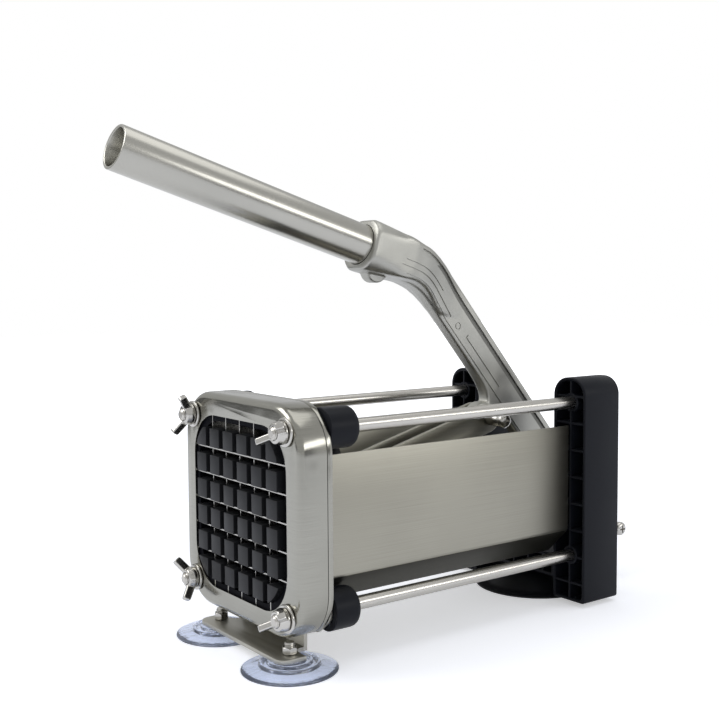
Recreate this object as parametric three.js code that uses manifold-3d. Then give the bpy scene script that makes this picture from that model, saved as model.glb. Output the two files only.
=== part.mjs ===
// Lever-operated french fry cutter: a ram of square pegs pushes a potato through a blade grid.
// Millimetres, +X to the machine's right, +Y from the blade to the back, +Z up, bench at zero.
import * as THREE from 'three';
import { mergeVertices } from 'three/addons/utils/BufferGeometryUtils.js';
import Module from 'manifold-3d';

const wasm = await Module();
wasm.setup();

// Fits and cutting
const seat = 0.3;
const running = 0.4;
const overrun = 2;
const roundSteps = 18;
const smallSteps = 12;
const hingeSteps = 24;
const cupSteps = 28;
const cornerSteps = 4;
const kneeSteps = 7;
const plateSteps = 8;
const cheekSteps = 10;
const tubeSteps = 24;
const hexSides = 6;

// Turn of each wing nut, in degrees
const wingTurns = [27, 63, 120, 30];

// Cutting grid
const cellPitch = 12.7;
const cellsAcross = 6;
const bladeThickness = 0.6;
const bladeDepth = 8;
const holderLip = 0.9;
const holderCornerRadius = 20;
const bladeEndGrip = 2.4;

// Pressed front cover and the plate behind it
const windowMargin = 3.4;
const coverRim = 10.5;
const coverDepth = 14.1;
const coverSheet = 1;
const coverCornerRadius = 22;
const coverBendRadius = 3.5;
const windowCornerRadius = 20;
const backPlateThickness = 2.6;
const backPlateOverlap = 1.2;

// Tie rods, their sleeves and nuts
const rodInsetX = 10.4;
const rodInsetZ = 11.6;
const rodRadius = 3.2;
const threadRadius = 2.8;
const threadPastNut = 1.4;
const sleeveRadius = 9.4;
const sleeveLength = 16;
const rodLength = 172.5;
const washerRadius = 6.4;
const washerThickness = 1;
const nutHubRadius = 5.2;
const nutNoseRadius = 4.2;
const nutHeight = 4.6;
const nutTaperShare = 0.35;
const wingSpan = 11.1;
const wingHeight = 8.7;
const wingThickness = 2.2;
const wingShares = [
  [0.22, 0.12], [0.42, 0.12], [0.97, 0.6], [1, 0.72], [0.87, 0.96], [0.78, 1], [0.22, 0.5],
];

// Screw heads: the height of the crown, the width of its flat top and the reach of the cross, as shares
const crownShare = 0.45;
const crownFlatShare = 0.7;
const crossShare = 0.62;

// Turned cups, as shares of a radius and a height
const cupHollowShares = [[0, 0.42], [0.9, 0.4]];
const cupSkirtShares = [[0.6, 0.2], [0.88, 0], [1, 0]];
const cupLipShare = 0.16;
const cupLipShares = [[1, 1], [0.93, 1.7]];
const cupCrownShares = [[0.62, 0.48], [0.6, 0.7], [0.46, 0.76]];
const cupHubShares = [[1.06, 0.82], [1, 1], [0, 1]];
const cupSocketShare = 0.62;
const rearCupHollowShares = [[0, 0.5], [1, 0.45]];
const rearCupSkirtShares = [[0.7, 0.12], [0.86, 0], [1, 0]];
const rearCupLipShares = [[1, 0.7], [0.86, 1]];
const rearCupBellShares = [[0.72, 0.42]];
const rearCupNeckShares = [[1.15, 0.82], [1, 1], [0, 1]];
const rearCupPegShare = 0.7;

// Arcs of the brackets and the ear, as shares of half a turn
const footEarArcShares = [-0.25, 0.75, 0.25, 1.25];
const cheekArcShares = [-1 / 3, 0.62];
const hookArcShare = -1 / 3;
const earArcShares = [0.417, 1.3];

// Ear, sunk panel, socket and lug of the lever arm, as shares of their own radius or border
const earUpperShare = 2.6;
const earLowerShare = 2.4;
const earCornerShare = 0.9;
const earTopShares = [0.26, 0.97];
const panelLowShare = 0.8;
const panelHighShare = 1.2;
const panelStartShare = 1.5;
const socketTipShare = 1.9;
const socketNoseShares = [0.9, 1.7];
const socketShoulderShares = [0.72, 0.7];
const socketMouthShare = 0.94;
const socketRunShare = 0.3;
const lugShare = 1.7;

// Trough that carries the potato and the ram
const troughMargin = 2.9;
const troughSheet = 1;
const troughTop = 28.2;
const troughChamfer = 14;

// Moulded rear frame
const postWidth = 22.1;
const postDepth = 26.4;
const postHead = 13;
const postToBench = 2.3;
const postTopRadius = 9.5;
const postFootRadius = 1.6;
const postWall = 1.8;
const postBack = 3;
const ribThickness = 1.2;
const ribPitch = 14.1;
const rodBossRadius = 4.9;
const beamBottom = 12.6;
const beamBelowTrough = 1.2;
const rodSocketDepth = 14.5;

// Pan head screws
const screwRadius = 2;
const screwHeadRadius = 3.9;
const screwHeadHeight = 2.6;
const crossWidth = 1;
const crossDepth = 1;

// Feet
const footBarSheet = 1.8;
const footBarFront = -1.5;
const footBarHeight = 5;
const footTabBelowTrough = 0.8;
const footTabBelowRod = 10.6;
const footBarInset = 3.6;
const footEarRadius = 6.4;
const cupSpacing = 62;
const cupY = 7.4;
const cupRadius = 21.9;
const cupHubRadius = 6.6;
const cupStudRadius = 2.5;
const cupStudAboveBar = 7.4;
const cupStudToCover = 1;
const cupNutRadius = 4.6;
const cupNutHeight = 4;
const rearCupLip = 2.5;
const rearCupFromBack = 10.6;
const rearCupNeckRadius = 11;

// Lever, its pivot and its bracket
const pivotBehindPost = 36.9;
const pivotBelowGrid = 39;
const armAngle = 130.6;
const armLength = 196.2;
const armWidth = 20.7;
const armThickness = 8;
const armPocket = 1;
const armBorder = 4.2;
const armKneeRadius = 40;
const hubRadius = 12;
const hubHalfLength = 8;
const handleAngle = 163.1;
const handleFromKnee = 175;
const tubeRadius = 10;
const tubeWall = 1.5;
const socketFromKnee = 41;
const socketDepth = 34;
const socketWall = 2.2;
const lugRadius = 6;
const earBeforePostEnd = 52;
const earAboveGrid = 30.7;
const earRadius = 8.4;
const earBossHalf = 5;
const boltRadius = 2.6;
const boltHeadRadius = 3.9;
const boltHeadHeight = 3.4;
const boltSleeveRadius = 3.5;
const boltSleeveLength = 9.7;
const boltNutRadius = 4.6;
const boltNutHeight = 4;
const cheekThickness = 2.5;
const cheekRadius = 9;
const bracketFlangeHalfWidth = 20;
const bracketFlangeThickness = 2.5;
const bracketScrewX = 14.8;

// Link from the lever to the ram
const linkThickness = 2;
const linkRadius = 7.5;
const linkPinRadius = 3;
const linkPinHeadRadius = 4.2;
const linkPinHeadHeight = 1.5;
const ramPinBehindPlate = 18.1;
const ramPinAboveGrid = 3.5;

// Ram
const pegPlay = 1.4;
const pegDrop = 0.9;
const pegLength = 24.6;
const pegTipY = -2.2;
const ramPlateThickness = 6;
const ramPlay = 0.8;
const ramCornerRadius = 22;
const ramRimDepth = 4;
const ramRimWidth = 2.4;
const hookSheet = 2;
const hookHalfHeight = 15;
const hookReach = 8;
const hookTop = 9;
const pinDrift = 8.2;

// Sizes and places worked out from the ones above
const bladeRun = cellPitch * cellsAcross;
const holderWindowSide = bladeRun + holderLip * 2;
const windowSide = bladeRun + windowMargin * 2;
const backPlateWindowSide = windowSide - backPlateOverlap * 2;
const coverSide = windowSide + coverRim * 2;
const footBarTop = footBarHeight + footBarSheet;
const gridHeight = footBarTop + cupStudAboveBar + cupStudToCover + coverSide / 2;
const rodX = coverSide / 2 - rodInsetX;
const rodZ = coverSide / 2 - rodInsetZ;
const rodFront = -(seat * 2 + washerThickness + nutHeight + threadPastNut);
const troughHalfWidth = bladeRun / 2 + troughMargin;
const troughBend = troughHalfWidth - troughChamfer;
const troughBottom = gridHeight - troughHalfWidth;
const gridY = coverSheet + seat;
const backPlateY = coverDepth + seat;
const backPlateEnd = backPlateY + backPlateThickness;
const troughY = backPlateEnd + seat;
const footTabY = backPlateEnd + seat;
const postY = backPlateEnd + seat + rodLength - rodSocketDepth;
const postEnd = postY + postDepth;
const postInner = coverSide / 2 - postWidth;
const postHeight = gridHeight + rodZ + postHead - postToBench;
const troughEnd = postY - seat;
const beamTop = troughBottom - beamBelowTrough;
const footBarHalfWidth = rodX - footBarInset;
const rearCupRadius = postInner + rearCupLip;
const rearCupY = postEnd - rearCupFromBack;
const pivotY = postEnd + pivotBehindPost;
const pivotZ = gridHeight - pivotBelowGrid;
const earY = postEnd - earBeforePostEnd;
const earZ = gridHeight + earAboveGrid;
const linkInner = earBossHalf + running;
const linkOuter = linkInner + linkThickness;
const pegSide = cellPitch - bladeThickness - pegPlay * 2;
const ramPlateSide = (troughHalfWidth - troughSheet - ramPlay) * 2;
const ramPlateY = pegTipY + pegLength;
const ramPlateEnd = ramPlateY + ramPlateThickness;
const ramPinY = ramPlateEnd + ramPinBehindPlate;
const ramPinZ = gridHeight + ramPinAboveGrid;

// Basic shapes
function roundedSquare(side, radius) {
  const half = side / 2;
  const flat = half - radius;
  const shape = new THREE.Shape();
  shape.absarc(flat, flat, radius, 0, Math.PI / 2);
  shape.absarc(-flat, flat, radius, Math.PI / 2, Math.PI);
  shape.absarc(-flat, -flat, radius, Math.PI, Math.PI * 1.5);
  shape.absarc(flat, -flat, radius, Math.PI * 1.5, Math.PI * 2);
  return shape;
}

function polygon(points) {
  return new THREE.Shape(points.map(([u, v]) => new THREE.Vector2(u, v)));
}

// A shape drawn across X and Z, from one Y to another
function alongY(shape, from, to, steps = cornerSteps) {
  const geometry = new THREE.ExtrudeGeometry(shape, {
    depth: to - from,
    bevelEnabled: false,
    curveSegments: steps,
  });
  return geometry.rotateX(Math.PI / 2).translate(0, to, 0);
}

// A shape drawn across Y and Z, from one X to another
function alongX(shape, from, to, steps = cornerSteps) {
  const geometry = new THREE.ExtrudeGeometry(shape, {
    depth: to - from,
    bevelEnabled: false,
    curveSegments: steps,
  });
  const turn = new THREE.Matrix4().makeBasis(
    new THREE.Vector3(0, 1, 0),
    new THREE.Vector3(0, 0, 1),
    new THREE.Vector3(1, 0, 0),
  );
  return geometry.applyMatrix4(turn).translate(from, 0, 0);
}

function box(x0, x1, y0, y1, z0, z1) {
  const geometry = new THREE.BoxGeometry(x1 - x0, y1 - y0, z1 - z0);
  return geometry.translate((x0 + x1) / 2, (y0 + y1) / 2, (z0 + z1) / 2);
}

function rodAlongX(radius, x0, x1, y, z, steps = roundSteps) {
  const geometry = new THREE.CylinderGeometry(radius, radius, x1 - x0, steps);
  return geometry.rotateZ(Math.PI / 2).translate((x0 + x1) / 2, y, z);
}

function rodAlongY(radius, y0, y1, x, z, steps = roundSteps) {
  const geometry = new THREE.CylinderGeometry(radius, radius, y1 - y0, steps);
  return geometry.translate(x, (y0 + y1) / 2, z);
}

function rodAlongZ(radius, z0, z1, x, y, steps = roundSteps) {
  const geometry = new THREE.CylinderGeometry(radius, radius, z1 - z0, steps);
  return geometry.rotateX(Math.PI / 2).translate(x, y, (z0 + z1) / 2);
}

// A profile of [radius, height] pairs, closed on the axis, turned about Z
function turned(profile, x, y, steps = roundSteps) {
  const points = profile.map(([radius, height]) => new THREE.Vector2(radius, height));
  return new THREE.LatheGeometry(points, steps).rotateX(Math.PI / 2).translate(x, y, 0);
}

// Booleans
function solid(geometry) {
  const bare = geometry.index ? geometry.toNonIndexed() : geometry.clone();
  bare.deleteAttribute('normal');
  bare.deleteAttribute('uv');
  const merged = mergeVertices(bare);
  return new wasm.Manifold(new wasm.Mesh({
    numProp: 3,
    vertProperties: new Float32Array(merged.attributes.position.array),
    triVerts: new Uint32Array(merged.index.array),
  }));
}

function shell(manifold) {
  const mesh = manifold.getMesh();
  const geometry = new THREE.BufferGeometry();
  geometry.setAttribute('position', new THREE.BufferAttribute(new Float32Array(mesh.vertProperties), 3));
  geometry.setIndex(new THREE.BufferAttribute(new Uint32Array(mesh.triVerts), 1));
  geometry.computeVertexNormals();
  return geometry;
}

function join(...geometries) {
  return shell(geometries.map(solid).reduce((whole, next) => whole.add(next)));
}

function cut(body, ...tools) {
  return shell(tools.map(solid).reduce((rest, tool) => rest.subtract(tool), solid(body)));
}

function overlap(a, b) {
  return shell(solid(a).intersect(solid(b)));
}

function mirrored(geometry) {
  const copy = geometry.clone().applyMatrix4(new THREE.Matrix4().makeScale(-1, 1, 1));
  const inOrder = [...Array(copy.attributes.position.count).keys()];
  const index = copy.index ? Array.from(copy.index.array) : inOrder;
  for (let i = 0; i < index.length; i += 3) {
    [index[i], index[i + 1]] = [index[i + 1], index[i]];
  }
  copy.setIndex(index);
  return copy;
}

// Materials
const finish = {
  stainless: { color: 0xb9b8ae, roughness: 0.32, metalness: 1 },
  brushed: { color: 0xa9a89c, roughness: 0.45, metalness: 1 },
  casting: { color: 0x9f9f97, roughness: 0.5, metalness: 1 },
  fastener: { color: 0xc8c6bf, roughness: 0.22, metalness: 1 },
  plastic: { color: 0x17191d, roughness: 0.5, metalness: 0 },
  rubber: { color: 0x0f1012, roughness: 0.6, metalness: 0 },
  clear: { color: 0xc9d3e6, roughness: 0.1, metalness: 0, transparent: true, opacity: 0.45 },
};

const cutter = new THREE.Group();

function part(name, geometry, look) {
  const mesh = new THREE.Mesh(geometry, new THREE.MeshStandardMaterial(finish[look]));
  mesh.name = name;
  cutter.add(mesh);
  return mesh;
}

// The four tie rod corners, each with the turn of its wing nut about the rod
const corners = [
  { name: 'top_right', x: rodX, z: gridHeight + rodZ, wingTurn: wingTurns[0] },
  { name: 'top_left', x: -rodX, z: gridHeight + rodZ, wingTurn: wingTurns[1] },
  { name: 'bottom_left', x: -rodX, z: gridHeight - rodZ, wingTurn: wingTurns[2] },
  { name: 'bottom_right', x: rodX, z: gridHeight - rodZ, wingTurn: wingTurns[3] },
];

// Pan head screw with a cross recess, its head seated at the origin and standing up along +Z
function panScrew(shank, headRadius, headHeight, length) {
  const crown = headHeight * crownShare;
  const head = turned([
    [0, -length],
    [shank, -length],
    [shank, 0],
    [headRadius, 0],
    [headRadius, headHeight - crown],
    [headRadius * crownFlatShare, headHeight],
    [0, headHeight],
  ], 0, 0, smallSteps);
  const arm = headRadius * crossShare;
  const low = headHeight - crossDepth;
  const high = headHeight + overrun;
  const slot = box(-arm, arm, -crossWidth / 2, crossWidth / 2, low, high);
  const cross = box(-crossWidth / 2, crossWidth / 2, -arm, arm, low, high);
  return cut(head, slot, cross);
}

function hexNut(radius, height, bore) {
  const outer = new THREE.CylinderGeometry(radius, radius, height, hexSides).rotateX(Math.PI / 2);
  outer.translate(0, 0, height / 2);
  return cut(outer, rodAlongZ(bore, -overrun, height + overrun, 0, 0, smallSteps));
}

function ring(outer, bore, y0, y1, x, z) {
  return cut(rodAlongY(outer, y0, y1, x, z), rodAlongY(bore, y0 - overrun, y1 + overrun, x, z));
}

// Cover
function domedBlock(side, radius, bend, from, to) {
  const shape = roundedSquare(side - bend * 2, radius - bend);
  const depth = to - from;
  const geometry = new THREE.ExtrudeGeometry(shape, {
    depth: depth,
    bevelEnabled: true,
    bevelThickness: bend,
    bevelSize: bend,
    bevelSegments: 3,
    curveSegments: cornerSteps,
  });
  return geometry.rotateX(Math.PI / 2).translate(0, to + bend, 0);
}

function makeFrontCover() {
  const far = coverDepth + coverBendRadius + overrun;
  const outer = domedBlock(coverSide, coverCornerRadius, coverBendRadius, 0, far);
  const innerSide = coverSide - coverSheet * 2;
  const innerBend = coverBendRadius - coverSheet;
  const innerRadius = coverCornerRadius - coverSheet;
  const inner = domedBlock(innerSide, innerRadius, innerBend, coverSheet, far + coverSheet);
  const rear = box(-coverSide, coverSide, coverDepth, far * 2, -coverSide, coverSide);
  const window = alongY(roundedSquare(windowSide, windowCornerRadius), -overrun, coverSheet + overrun);
  const holes = corners.map((c) =>
    rodAlongY(threadRadius + seat, -overrun, coverSheet + overrun, c.x, c.z - gridHeight));
  return cut(outer, rear, inner, window, ...holes).translate(0, 0, gridHeight);
}

function makeBackPlate() {
  const plate = alongY(roundedSquare(coverSide, coverCornerRadius), backPlateY, backPlateEnd);
  const low = backPlateY - overrun;
  const high = backPlateEnd + overrun;
  const window = alongY(roundedSquare(backPlateWindowSide, windowCornerRadius), low, high);
  const holes = corners.map((c) => rodAlongY(threadRadius + seat, low, high, c.x, c.z - gridHeight));
  return cut(plate, window, ...holes).translate(0, 0, gridHeight);
}

// Places of the blades, on the lines between the cells
const bladeLines = [];
for (let line = 1; line < cellsAcross; line += 1) {
  bladeLines.push((line - cellsAcross / 2) * cellPitch);
}

// One blade along X, notched to half its depth where it crosses the others
function bladeStrip(notchedInFront) {
  const reach = holderWindowSide / 2 + bladeEndGrip;
  const end = gridY + bladeDepth;
  const middleY = gridY + bladeDepth / 2;
  const half = bladeThickness / 2;
  const strip = box(-reach, reach, gridY, end, -half, half);
  const from = notchedInFront ? gridY - overrun : middleY - seat / 2;
  const to = notchedInFront ? middleY + seat / 2 : end + overrun;
  const reachAcross = half + seat;
  const notches = bladeLines.map((place) =>
    box(place - reachAcross, place + reachAcross, from, to, -overrun, overrun));
  return cut(strip, ...notches);
}

// Slots for the blade ends, open to the front
function bladeSlots(low) {
  const reach = holderWindowSide / 2 + bladeEndGrip + seat;
  const half = bladeThickness / 2 + seat;
  const end = gridY + bladeDepth + seat;
  return bladeLines.flatMap((place) => [
    box(place - half, place + half, low, end, -reach, reach),
    box(-reach, reach, low, end, place - half, place + half),
  ]);
}

function makeBladeHolder() {
  const side = coverSide - (coverSheet + seat) * 2;
  const bend = coverBendRadius - coverSheet;
  const bodyFront = coverSheet + seat;
  const cornerRadius = coverCornerRadius - coverSheet - seat;
  const outer = domedBlock(side, cornerRadius, bend, bodyFront, coverDepth + bend + overrun);
  const rear = box(-coverSide, coverSide, coverDepth, coverDepth * 3, -coverSide, coverSide);
  const low = -overrun;
  const high = coverDepth + overrun;
  const window = alongY(roundedSquare(holderWindowSide, holderCornerRadius), low, high);
  const holes = corners.map((c) => rodAlongY(threadRadius + seat, low, high, c.x, c.z - gridHeight));
  return cut(outer, rear, window, ...holes, ...bladeSlots(low)).translate(0, 0, gridHeight);
}

// Tie rod with a threaded front end and a tapped back end
function makeRod(corner) {
  const shoulder = backPlateEnd + seat;
  const end = postY + rodSocketDepth;
  const thread = rodAlongY(threadRadius, rodFront, shoulder + overrun, corner.x, corner.z);
  const bar = rodAlongY(rodRadius, shoulder, end, corner.x, corner.z);
  const tapStart = end - rodSocketDepth / 2;
  const tapped = rodAlongY(screwRadius + seat, tapStart, end + overrun, corner.x, corner.z, smallSteps);
  return cut(join(thread, bar), tapped);
}

// The two lower sleeves start behind the ears of the foot bracket
function makeSleeve(corner) {
  const end = backPlateEnd + seat + sleeveLength;
  const start = backPlateEnd + seat + (corner.z < gridHeight ? footBarSheet + seat : 0);
  return ring(sleeveRadius, rodRadius + seat, start, end, corner.x, corner.z);
}

// Wing nut, built standing on its seat at the origin and rising along +Z
function wingNutBody() {
  const hub = turned([
    [0, 0],
    [nutHubRadius, 0],
    [nutHubRadius, nutHeight * nutTaperShare],
    [nutNoseRadius, nutHeight],
    [0, nutHeight],
  ], 0, 0, smallSteps);
  const shape = polygon(wingShares.map(([out, up]) => [out * wingSpan, up * wingHeight]));
  const wing = new THREE.ExtrudeGeometry(shape, { depth: wingThickness, bevelEnabled: false });
  wing.rotateX(Math.PI / 2).translate(0, wingThickness / 2, 0);
  const other = wing.clone().rotateZ(Math.PI);
  const bore = rodAlongZ(threadRadius + seat, -overrun, nutHeight + overrun, 0, 0, smallSteps);
  return cut(join(hub, wing, other), bore);
}

function makeWingNut(corner) {
  const nut = wingNutBody().rotateZ(THREE.MathUtils.degToRad(corner.wingTurn));
  const seatY = -(seat * 2 + washerThickness);
  return nut.rotateX(Math.PI / 2).translate(corner.x, seatY, corner.z);
}

function makeWasher(corner) {
  return ring(washerRadius, threadRadius + seat, -(seat + washerThickness), -seat, corner.x, corner.z);
}

// Trough: a folded sheet, upright at the sides and cut across the lower corners to clear the rods
function troughOutline() {
  const out = troughHalfWidth;
  const inn = out - troughSheet;
  const slope = troughSheet * Math.tan(Math.PI / 8);
  const low = -troughBend;
  return polygon([
    [out, troughTop], [out, low], [troughBend, -out], [-troughBend, -out], [-out, low], [-out, troughTop],
    [-inn, troughTop], [-inn, low + slope], [-troughBend + slope, -inn], [troughBend - slope, -inn],
    [inn, low + slope], [inn, troughTop],
  ].reverse());
}

function makeTrough() {
  return alongY(troughOutline(), troughY, troughEnd).translate(0, 0, gridHeight);
}

// Rear frame
function postShape(inset) {
  const left = -postWidth / 2 + inset;
  const right = postWidth / 2 - inset;
  const top = postHeight - inset;
  const topRadius = postTopRadius - inset;
  const footRadius = postFootRadius;
  const shape = new THREE.Shape();
  shape.moveTo(left + footRadius, inset);
  shape.absarc(right - footRadius, inset + footRadius, footRadius, -Math.PI / 2, 0);
  shape.absarc(right - topRadius, top - topRadius, topRadius, 0, Math.PI / 2);
  shape.absarc(left + topRadius, top - topRadius, topRadius, Math.PI / 2, Math.PI);
  shape.absarc(left + footRadius, inset + footRadius, footRadius, Math.PI, Math.PI * 1.5);
  return shape;
}

function makePost() {
  const middle = postInner + postWidth / 2;
  const body = alongY(postShape(0), postY, postEnd);
  const hollow = alongY(postShape(postWall), postY - overrun, postEnd - postBack);
  const floor = postEnd - postBack + seat;
  const ribX = rodX - middle;
  const ribHalf = ribThickness / 2;
  const ribSide = (postWidth - postWall) / 2;
  const ribs = [box(ribX - ribHalf, ribX + ribHalf, postY, floor, postWall / 2, postHeight - postWall / 2)];
  const ribCount = Math.floor((postHeight - postWall * 2) / ribPitch);
  for (let i = 0; i < ribCount; i += 1) {
    const z = postHeight / 2 + (i - (ribCount - 1) / 2) * ribPitch;
    ribs.push(box(-ribSide, ribSide, postY, floor, z - ribHalf, z + ribHalf));
  }
  const rodPlaces = [gridHeight - rodZ - postToBench, gridHeight + rodZ - postToBench];
  const bosses = rodPlaces.map((z) => rodAlongY(rodBossRadius, postY, floor, ribX, z));
  const bores = rodPlaces.map((z) =>
    rodAlongY(rodRadius + seat, postY - overrun, postY + rodSocketDepth + seat, ribX, z));
  const screwHoles = rodPlaces.map((z) =>
    rodAlongY(screwRadius + seat, postY, postEnd + overrun, ribX, z, smallSteps));
  const filled = join(cut(body, hollow), ...ribs, ...bosses);
  return cut(filled, ...bores, ...screwHoles).translate(middle, 0, postToBench);
}

function makeRearFrame() {
  const right = makePost();
  const reach = postInner + postWall / 2;
  const beam = box(-reach, reach, postY, postEnd, beamBottom, beamTop);
  const holeTop = beamTop - postWall * 2;
  const cupHole = rodAlongZ(cupStudRadius + seat, beamBottom - overrun, holeTop, 0, rearCupY, smallSteps);
  const holeStart = postEnd - rodSocketDepth;
  const screwHoles = [-bracketScrewX, bracketScrewX].map((x) =>
    rodAlongY(screwRadius + seat, holeStart, postEnd + overrun, x, bracketScrewZ(), smallSteps));
  return cut(join(right, mirrored(right), beam), cupHole, ...screwHoles);
}

function makeRearScrew(corner) {
  const length = postDepth - rodSocketDepth + rodSocketDepth / 2 - overrun;
  const screw = panScrew(screwRadius, screwHeadRadius, screwHeadHeight, length);
  return screw.rotateX(-Math.PI / 2).translate(corner.x, postEnd + seat, corner.z);
}

// The upright part of the foot bracket: a wide apron with an ear round each lower rod
function footTabShape() {
  const rodHeight = gridHeight - rodZ;
  const shoulder = rodHeight - footTabBelowRod;
  const top = troughBottom - footTabBelowTrough;
  const shape = new THREE.Shape();
  shape.moveTo(-footBarHalfWidth, footBarHeight);
  shape.lineTo(footBarHalfWidth, footBarHeight);
  shape.lineTo(footBarHalfWidth, shoulder);
  shape.absarc(rodX, rodHeight, footEarRadius, Math.PI * footEarArcShares[0], Math.PI * footEarArcShares[1]);
  shape.lineTo(troughBend, top);
  shape.lineTo(-troughBend, top);
  shape.absarc(-rodX, rodHeight, footEarRadius, Math.PI * footEarArcShares[2], Math.PI * footEarArcShares[3]);
  shape.lineTo(-footBarHalfWidth, shoulder);
  return shape;
}

// Points of a turned profile
function profile(shares, radius, height) {
  return shares.map(([across, up]) => [radius * across, height * up]);
}

// Feet
function makeFootBracket() {
  const barTop = footBarTop;
  const tabEnd = footTabY + footBarSheet;
  const half = footBarHalfWidth;
  const middle = (footBarFront + tabEnd) / 2;
  const radius = (tabEnd - footBarFront) / 4;
  const outline = new THREE.Shape();
  outline.moveTo(half, tabEnd);
  outline.lineTo(-half, tabEnd);
  outline.absarc(-half + radius, footBarFront + radius, radius, Math.PI, Math.PI * 1.5);
  outline.absarc(half - radius, footBarFront + radius, radius, Math.PI * 1.5, Math.PI * 2);
  const bar = new THREE.ExtrudeGeometry(outline, {
    depth: footBarSheet,
    bevelEnabled: false,
    curveSegments: cornerSteps,
  });
  bar.translate(0, 0, footBarHeight);
  const tab = alongY(footTabShape(), footTabY, tabEnd);
  const bores = [-cupSpacing / 2, cupSpacing / 2].map((x) =>
    rodAlongZ(cupStudRadius + seat, footBarHeight - overrun, barTop + overrun, x, cupY, smallSteps));
  const holes = [-rodX, rodX].map((x) =>
    rodAlongY(rodRadius + seat, footTabY - overrun, tabEnd + overrun, x, gridHeight - rodZ));
  return cut(join(bar, tab), ...bores, ...holes);
}

// Front suction cup: a wide lip, a stepped crown and a hub under the bar, hollow below
function makeFrontCup(side) {
  const top = footBarHeight - seat;
  const lip = top * cupLipShare;
  const x = side * cupSpacing / 2;
  const cup = turned([
    ...profile(cupHollowShares, cupHubRadius, top),
    ...profile(cupSkirtShares, cupRadius, top),
    ...profile(cupLipShares, cupRadius, lip),
    ...profile(cupCrownShares, cupRadius, top),
    ...profile(cupHubShares, cupHubRadius, top),
  ], x, cupY, cupSteps);
  const socket = rodAlongZ(cupStudRadius + seat, top * cupSocketShare, top + overrun, x, cupY, smallSteps);
  return cut(cup, socket);
}

function makeCupStud(side) {
  const bottom = (footBarHeight - seat) * cupSocketShare + seat;
  const top = footBarTop + cupStudAboveBar;
  return rodAlongZ(cupStudRadius, bottom, top, side * cupSpacing / 2, cupY, smallSteps);
}

function makeCupNut(side) {
  const nut = hexNut(cupNutRadius, cupNutHeight, cupStudRadius + seat);
  return nut.translate(side * cupSpacing / 2, cupY, footBarTop + seat);
}

// Rear suction cup: a broad rubber bell with a peg into the beam and a lip that runs under the posts
function makeRearCup() {
  const top = beamBottom - seat;
  const lip = postToBench - seat * 3;
  const cup = turned([
    ...profile(rearCupHollowShares, rearCupNeckRadius, top),
    ...profile(rearCupSkirtShares, rearCupRadius, top),
    ...profile(rearCupLipShares, rearCupRadius, lip),
    ...profile(rearCupBellShares, rearCupRadius, top),
    ...profile(rearCupNeckShares, rearCupNeckRadius, top),
  ], 0, rearCupY, cupSteps);
  const pegTop = beamTop - postWall * 2 - seat;
  return join(cup, rodAlongZ(cupStudRadius, top * rearCupPegShare, pegTop, 0, rearCupY, smallSteps));
}

// Pivot bracket behind the rear frame: a flange with two cheeks
function cheekInner() {
  return hubHalfLength + running;
}

function bracketScrewZ() {
  return (beamBottom + beamTop) / 2;
}

function makePivotBracket() {
  const flangeY = postEnd + seat;
  const flangeEnd = flangeY + bracketFlangeThickness;
  const flangeHalf = bracketFlangeHalfWidth;
  const flange = box(-flangeHalf, flangeHalf, flangeY, flangeEnd, beamBottom, beamTop);
  const cheek = new THREE.Shape();
  cheek.moveTo(flangeY, beamBottom);
  cheek.lineTo(flangeEnd, beamBottom);
  cheek.absarc(pivotY, pivotZ, cheekRadius, Math.PI * cheekArcShares[0], Math.PI * cheekArcShares[1]);
  cheek.lineTo(flangeEnd, beamTop);
  cheek.lineTo(flangeY, beamTop);
  const inner = cheekInner();
  const outer = inner + cheekThickness;
  const cheeks = [[inner, outer], [-outer, -inner]].map(([from, to]) => alongX(cheek, from, to, cheekSteps));
  const bore = rodAlongX(boltRadius + seat, -outer - overrun, outer + overrun, pivotY, pivotZ, hingeSteps);
  const holes = [-bracketScrewX, bracketScrewX].map((x) =>
    rodAlongY(screwRadius + seat, flangeY - overrun, flangeEnd + overrun, x, bracketScrewZ(), smallSteps));
  return cut(join(flange, ...cheeks), bore, ...holes);
}

function makeBracketScrew(side) {
  const screw = panScrew(screwRadius, screwHeadRadius, screwHeadHeight, rodSocketDepth - overrun);
  const y = postEnd + seat * 2 + bracketFlangeThickness;
  return screw.rotateX(-Math.PI / 2).translate(side * bracketScrewX, y, bracketScrewZ());
}

// A bolt across X with its head to the right, a sleeve under the head and a nut at the left
function makeBolt(clampHalf, y, z) {
  const headSeat = clampHalf + seat * 2 + boltSleeveLength;
  const length = headSeat + clampHalf + seat + boltNutHeight + threadPastNut;
  const bolt = panScrew(boltRadius, boltHeadRadius, boltHeadHeight, length);
  return bolt.rotateY(Math.PI / 2).translate(headSeat, y, z);
}

function makeBoltSleeve(clampHalf, y, z) {
  const from = clampHalf + seat;
  const to = from + boltSleeveLength;
  return cut(
    rodAlongX(boltSleeveRadius, from, to, y, z),
    rodAlongX(boltRadius + seat, from - overrun, to + overrun, y, z),
  );
}

function makeBoltNut(clampHalf, y, z) {
  const nut = hexNut(boltNutRadius, boltNutHeight, boltRadius + seat);
  return nut.rotateY(-Math.PI / 2).translate(-clampHalf - seat, y, z);
}

// Lever arm: a cast bar with pocketed faces, a hub, an ear for the link and a socket for the tube
function direction(degrees) {
  const angle = THREE.MathUtils.degToRad(degrees);
  return new THREE.Vector2(Math.cos(angle), Math.sin(angle));
}

const pivot = new THREE.Vector2(pivotY, pivotZ);
const armDirection = direction(armAngle);
const handleDirection = direction(handleAngle);
const knee = pivot.clone().addScaledVector(armDirection, armLength);

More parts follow.
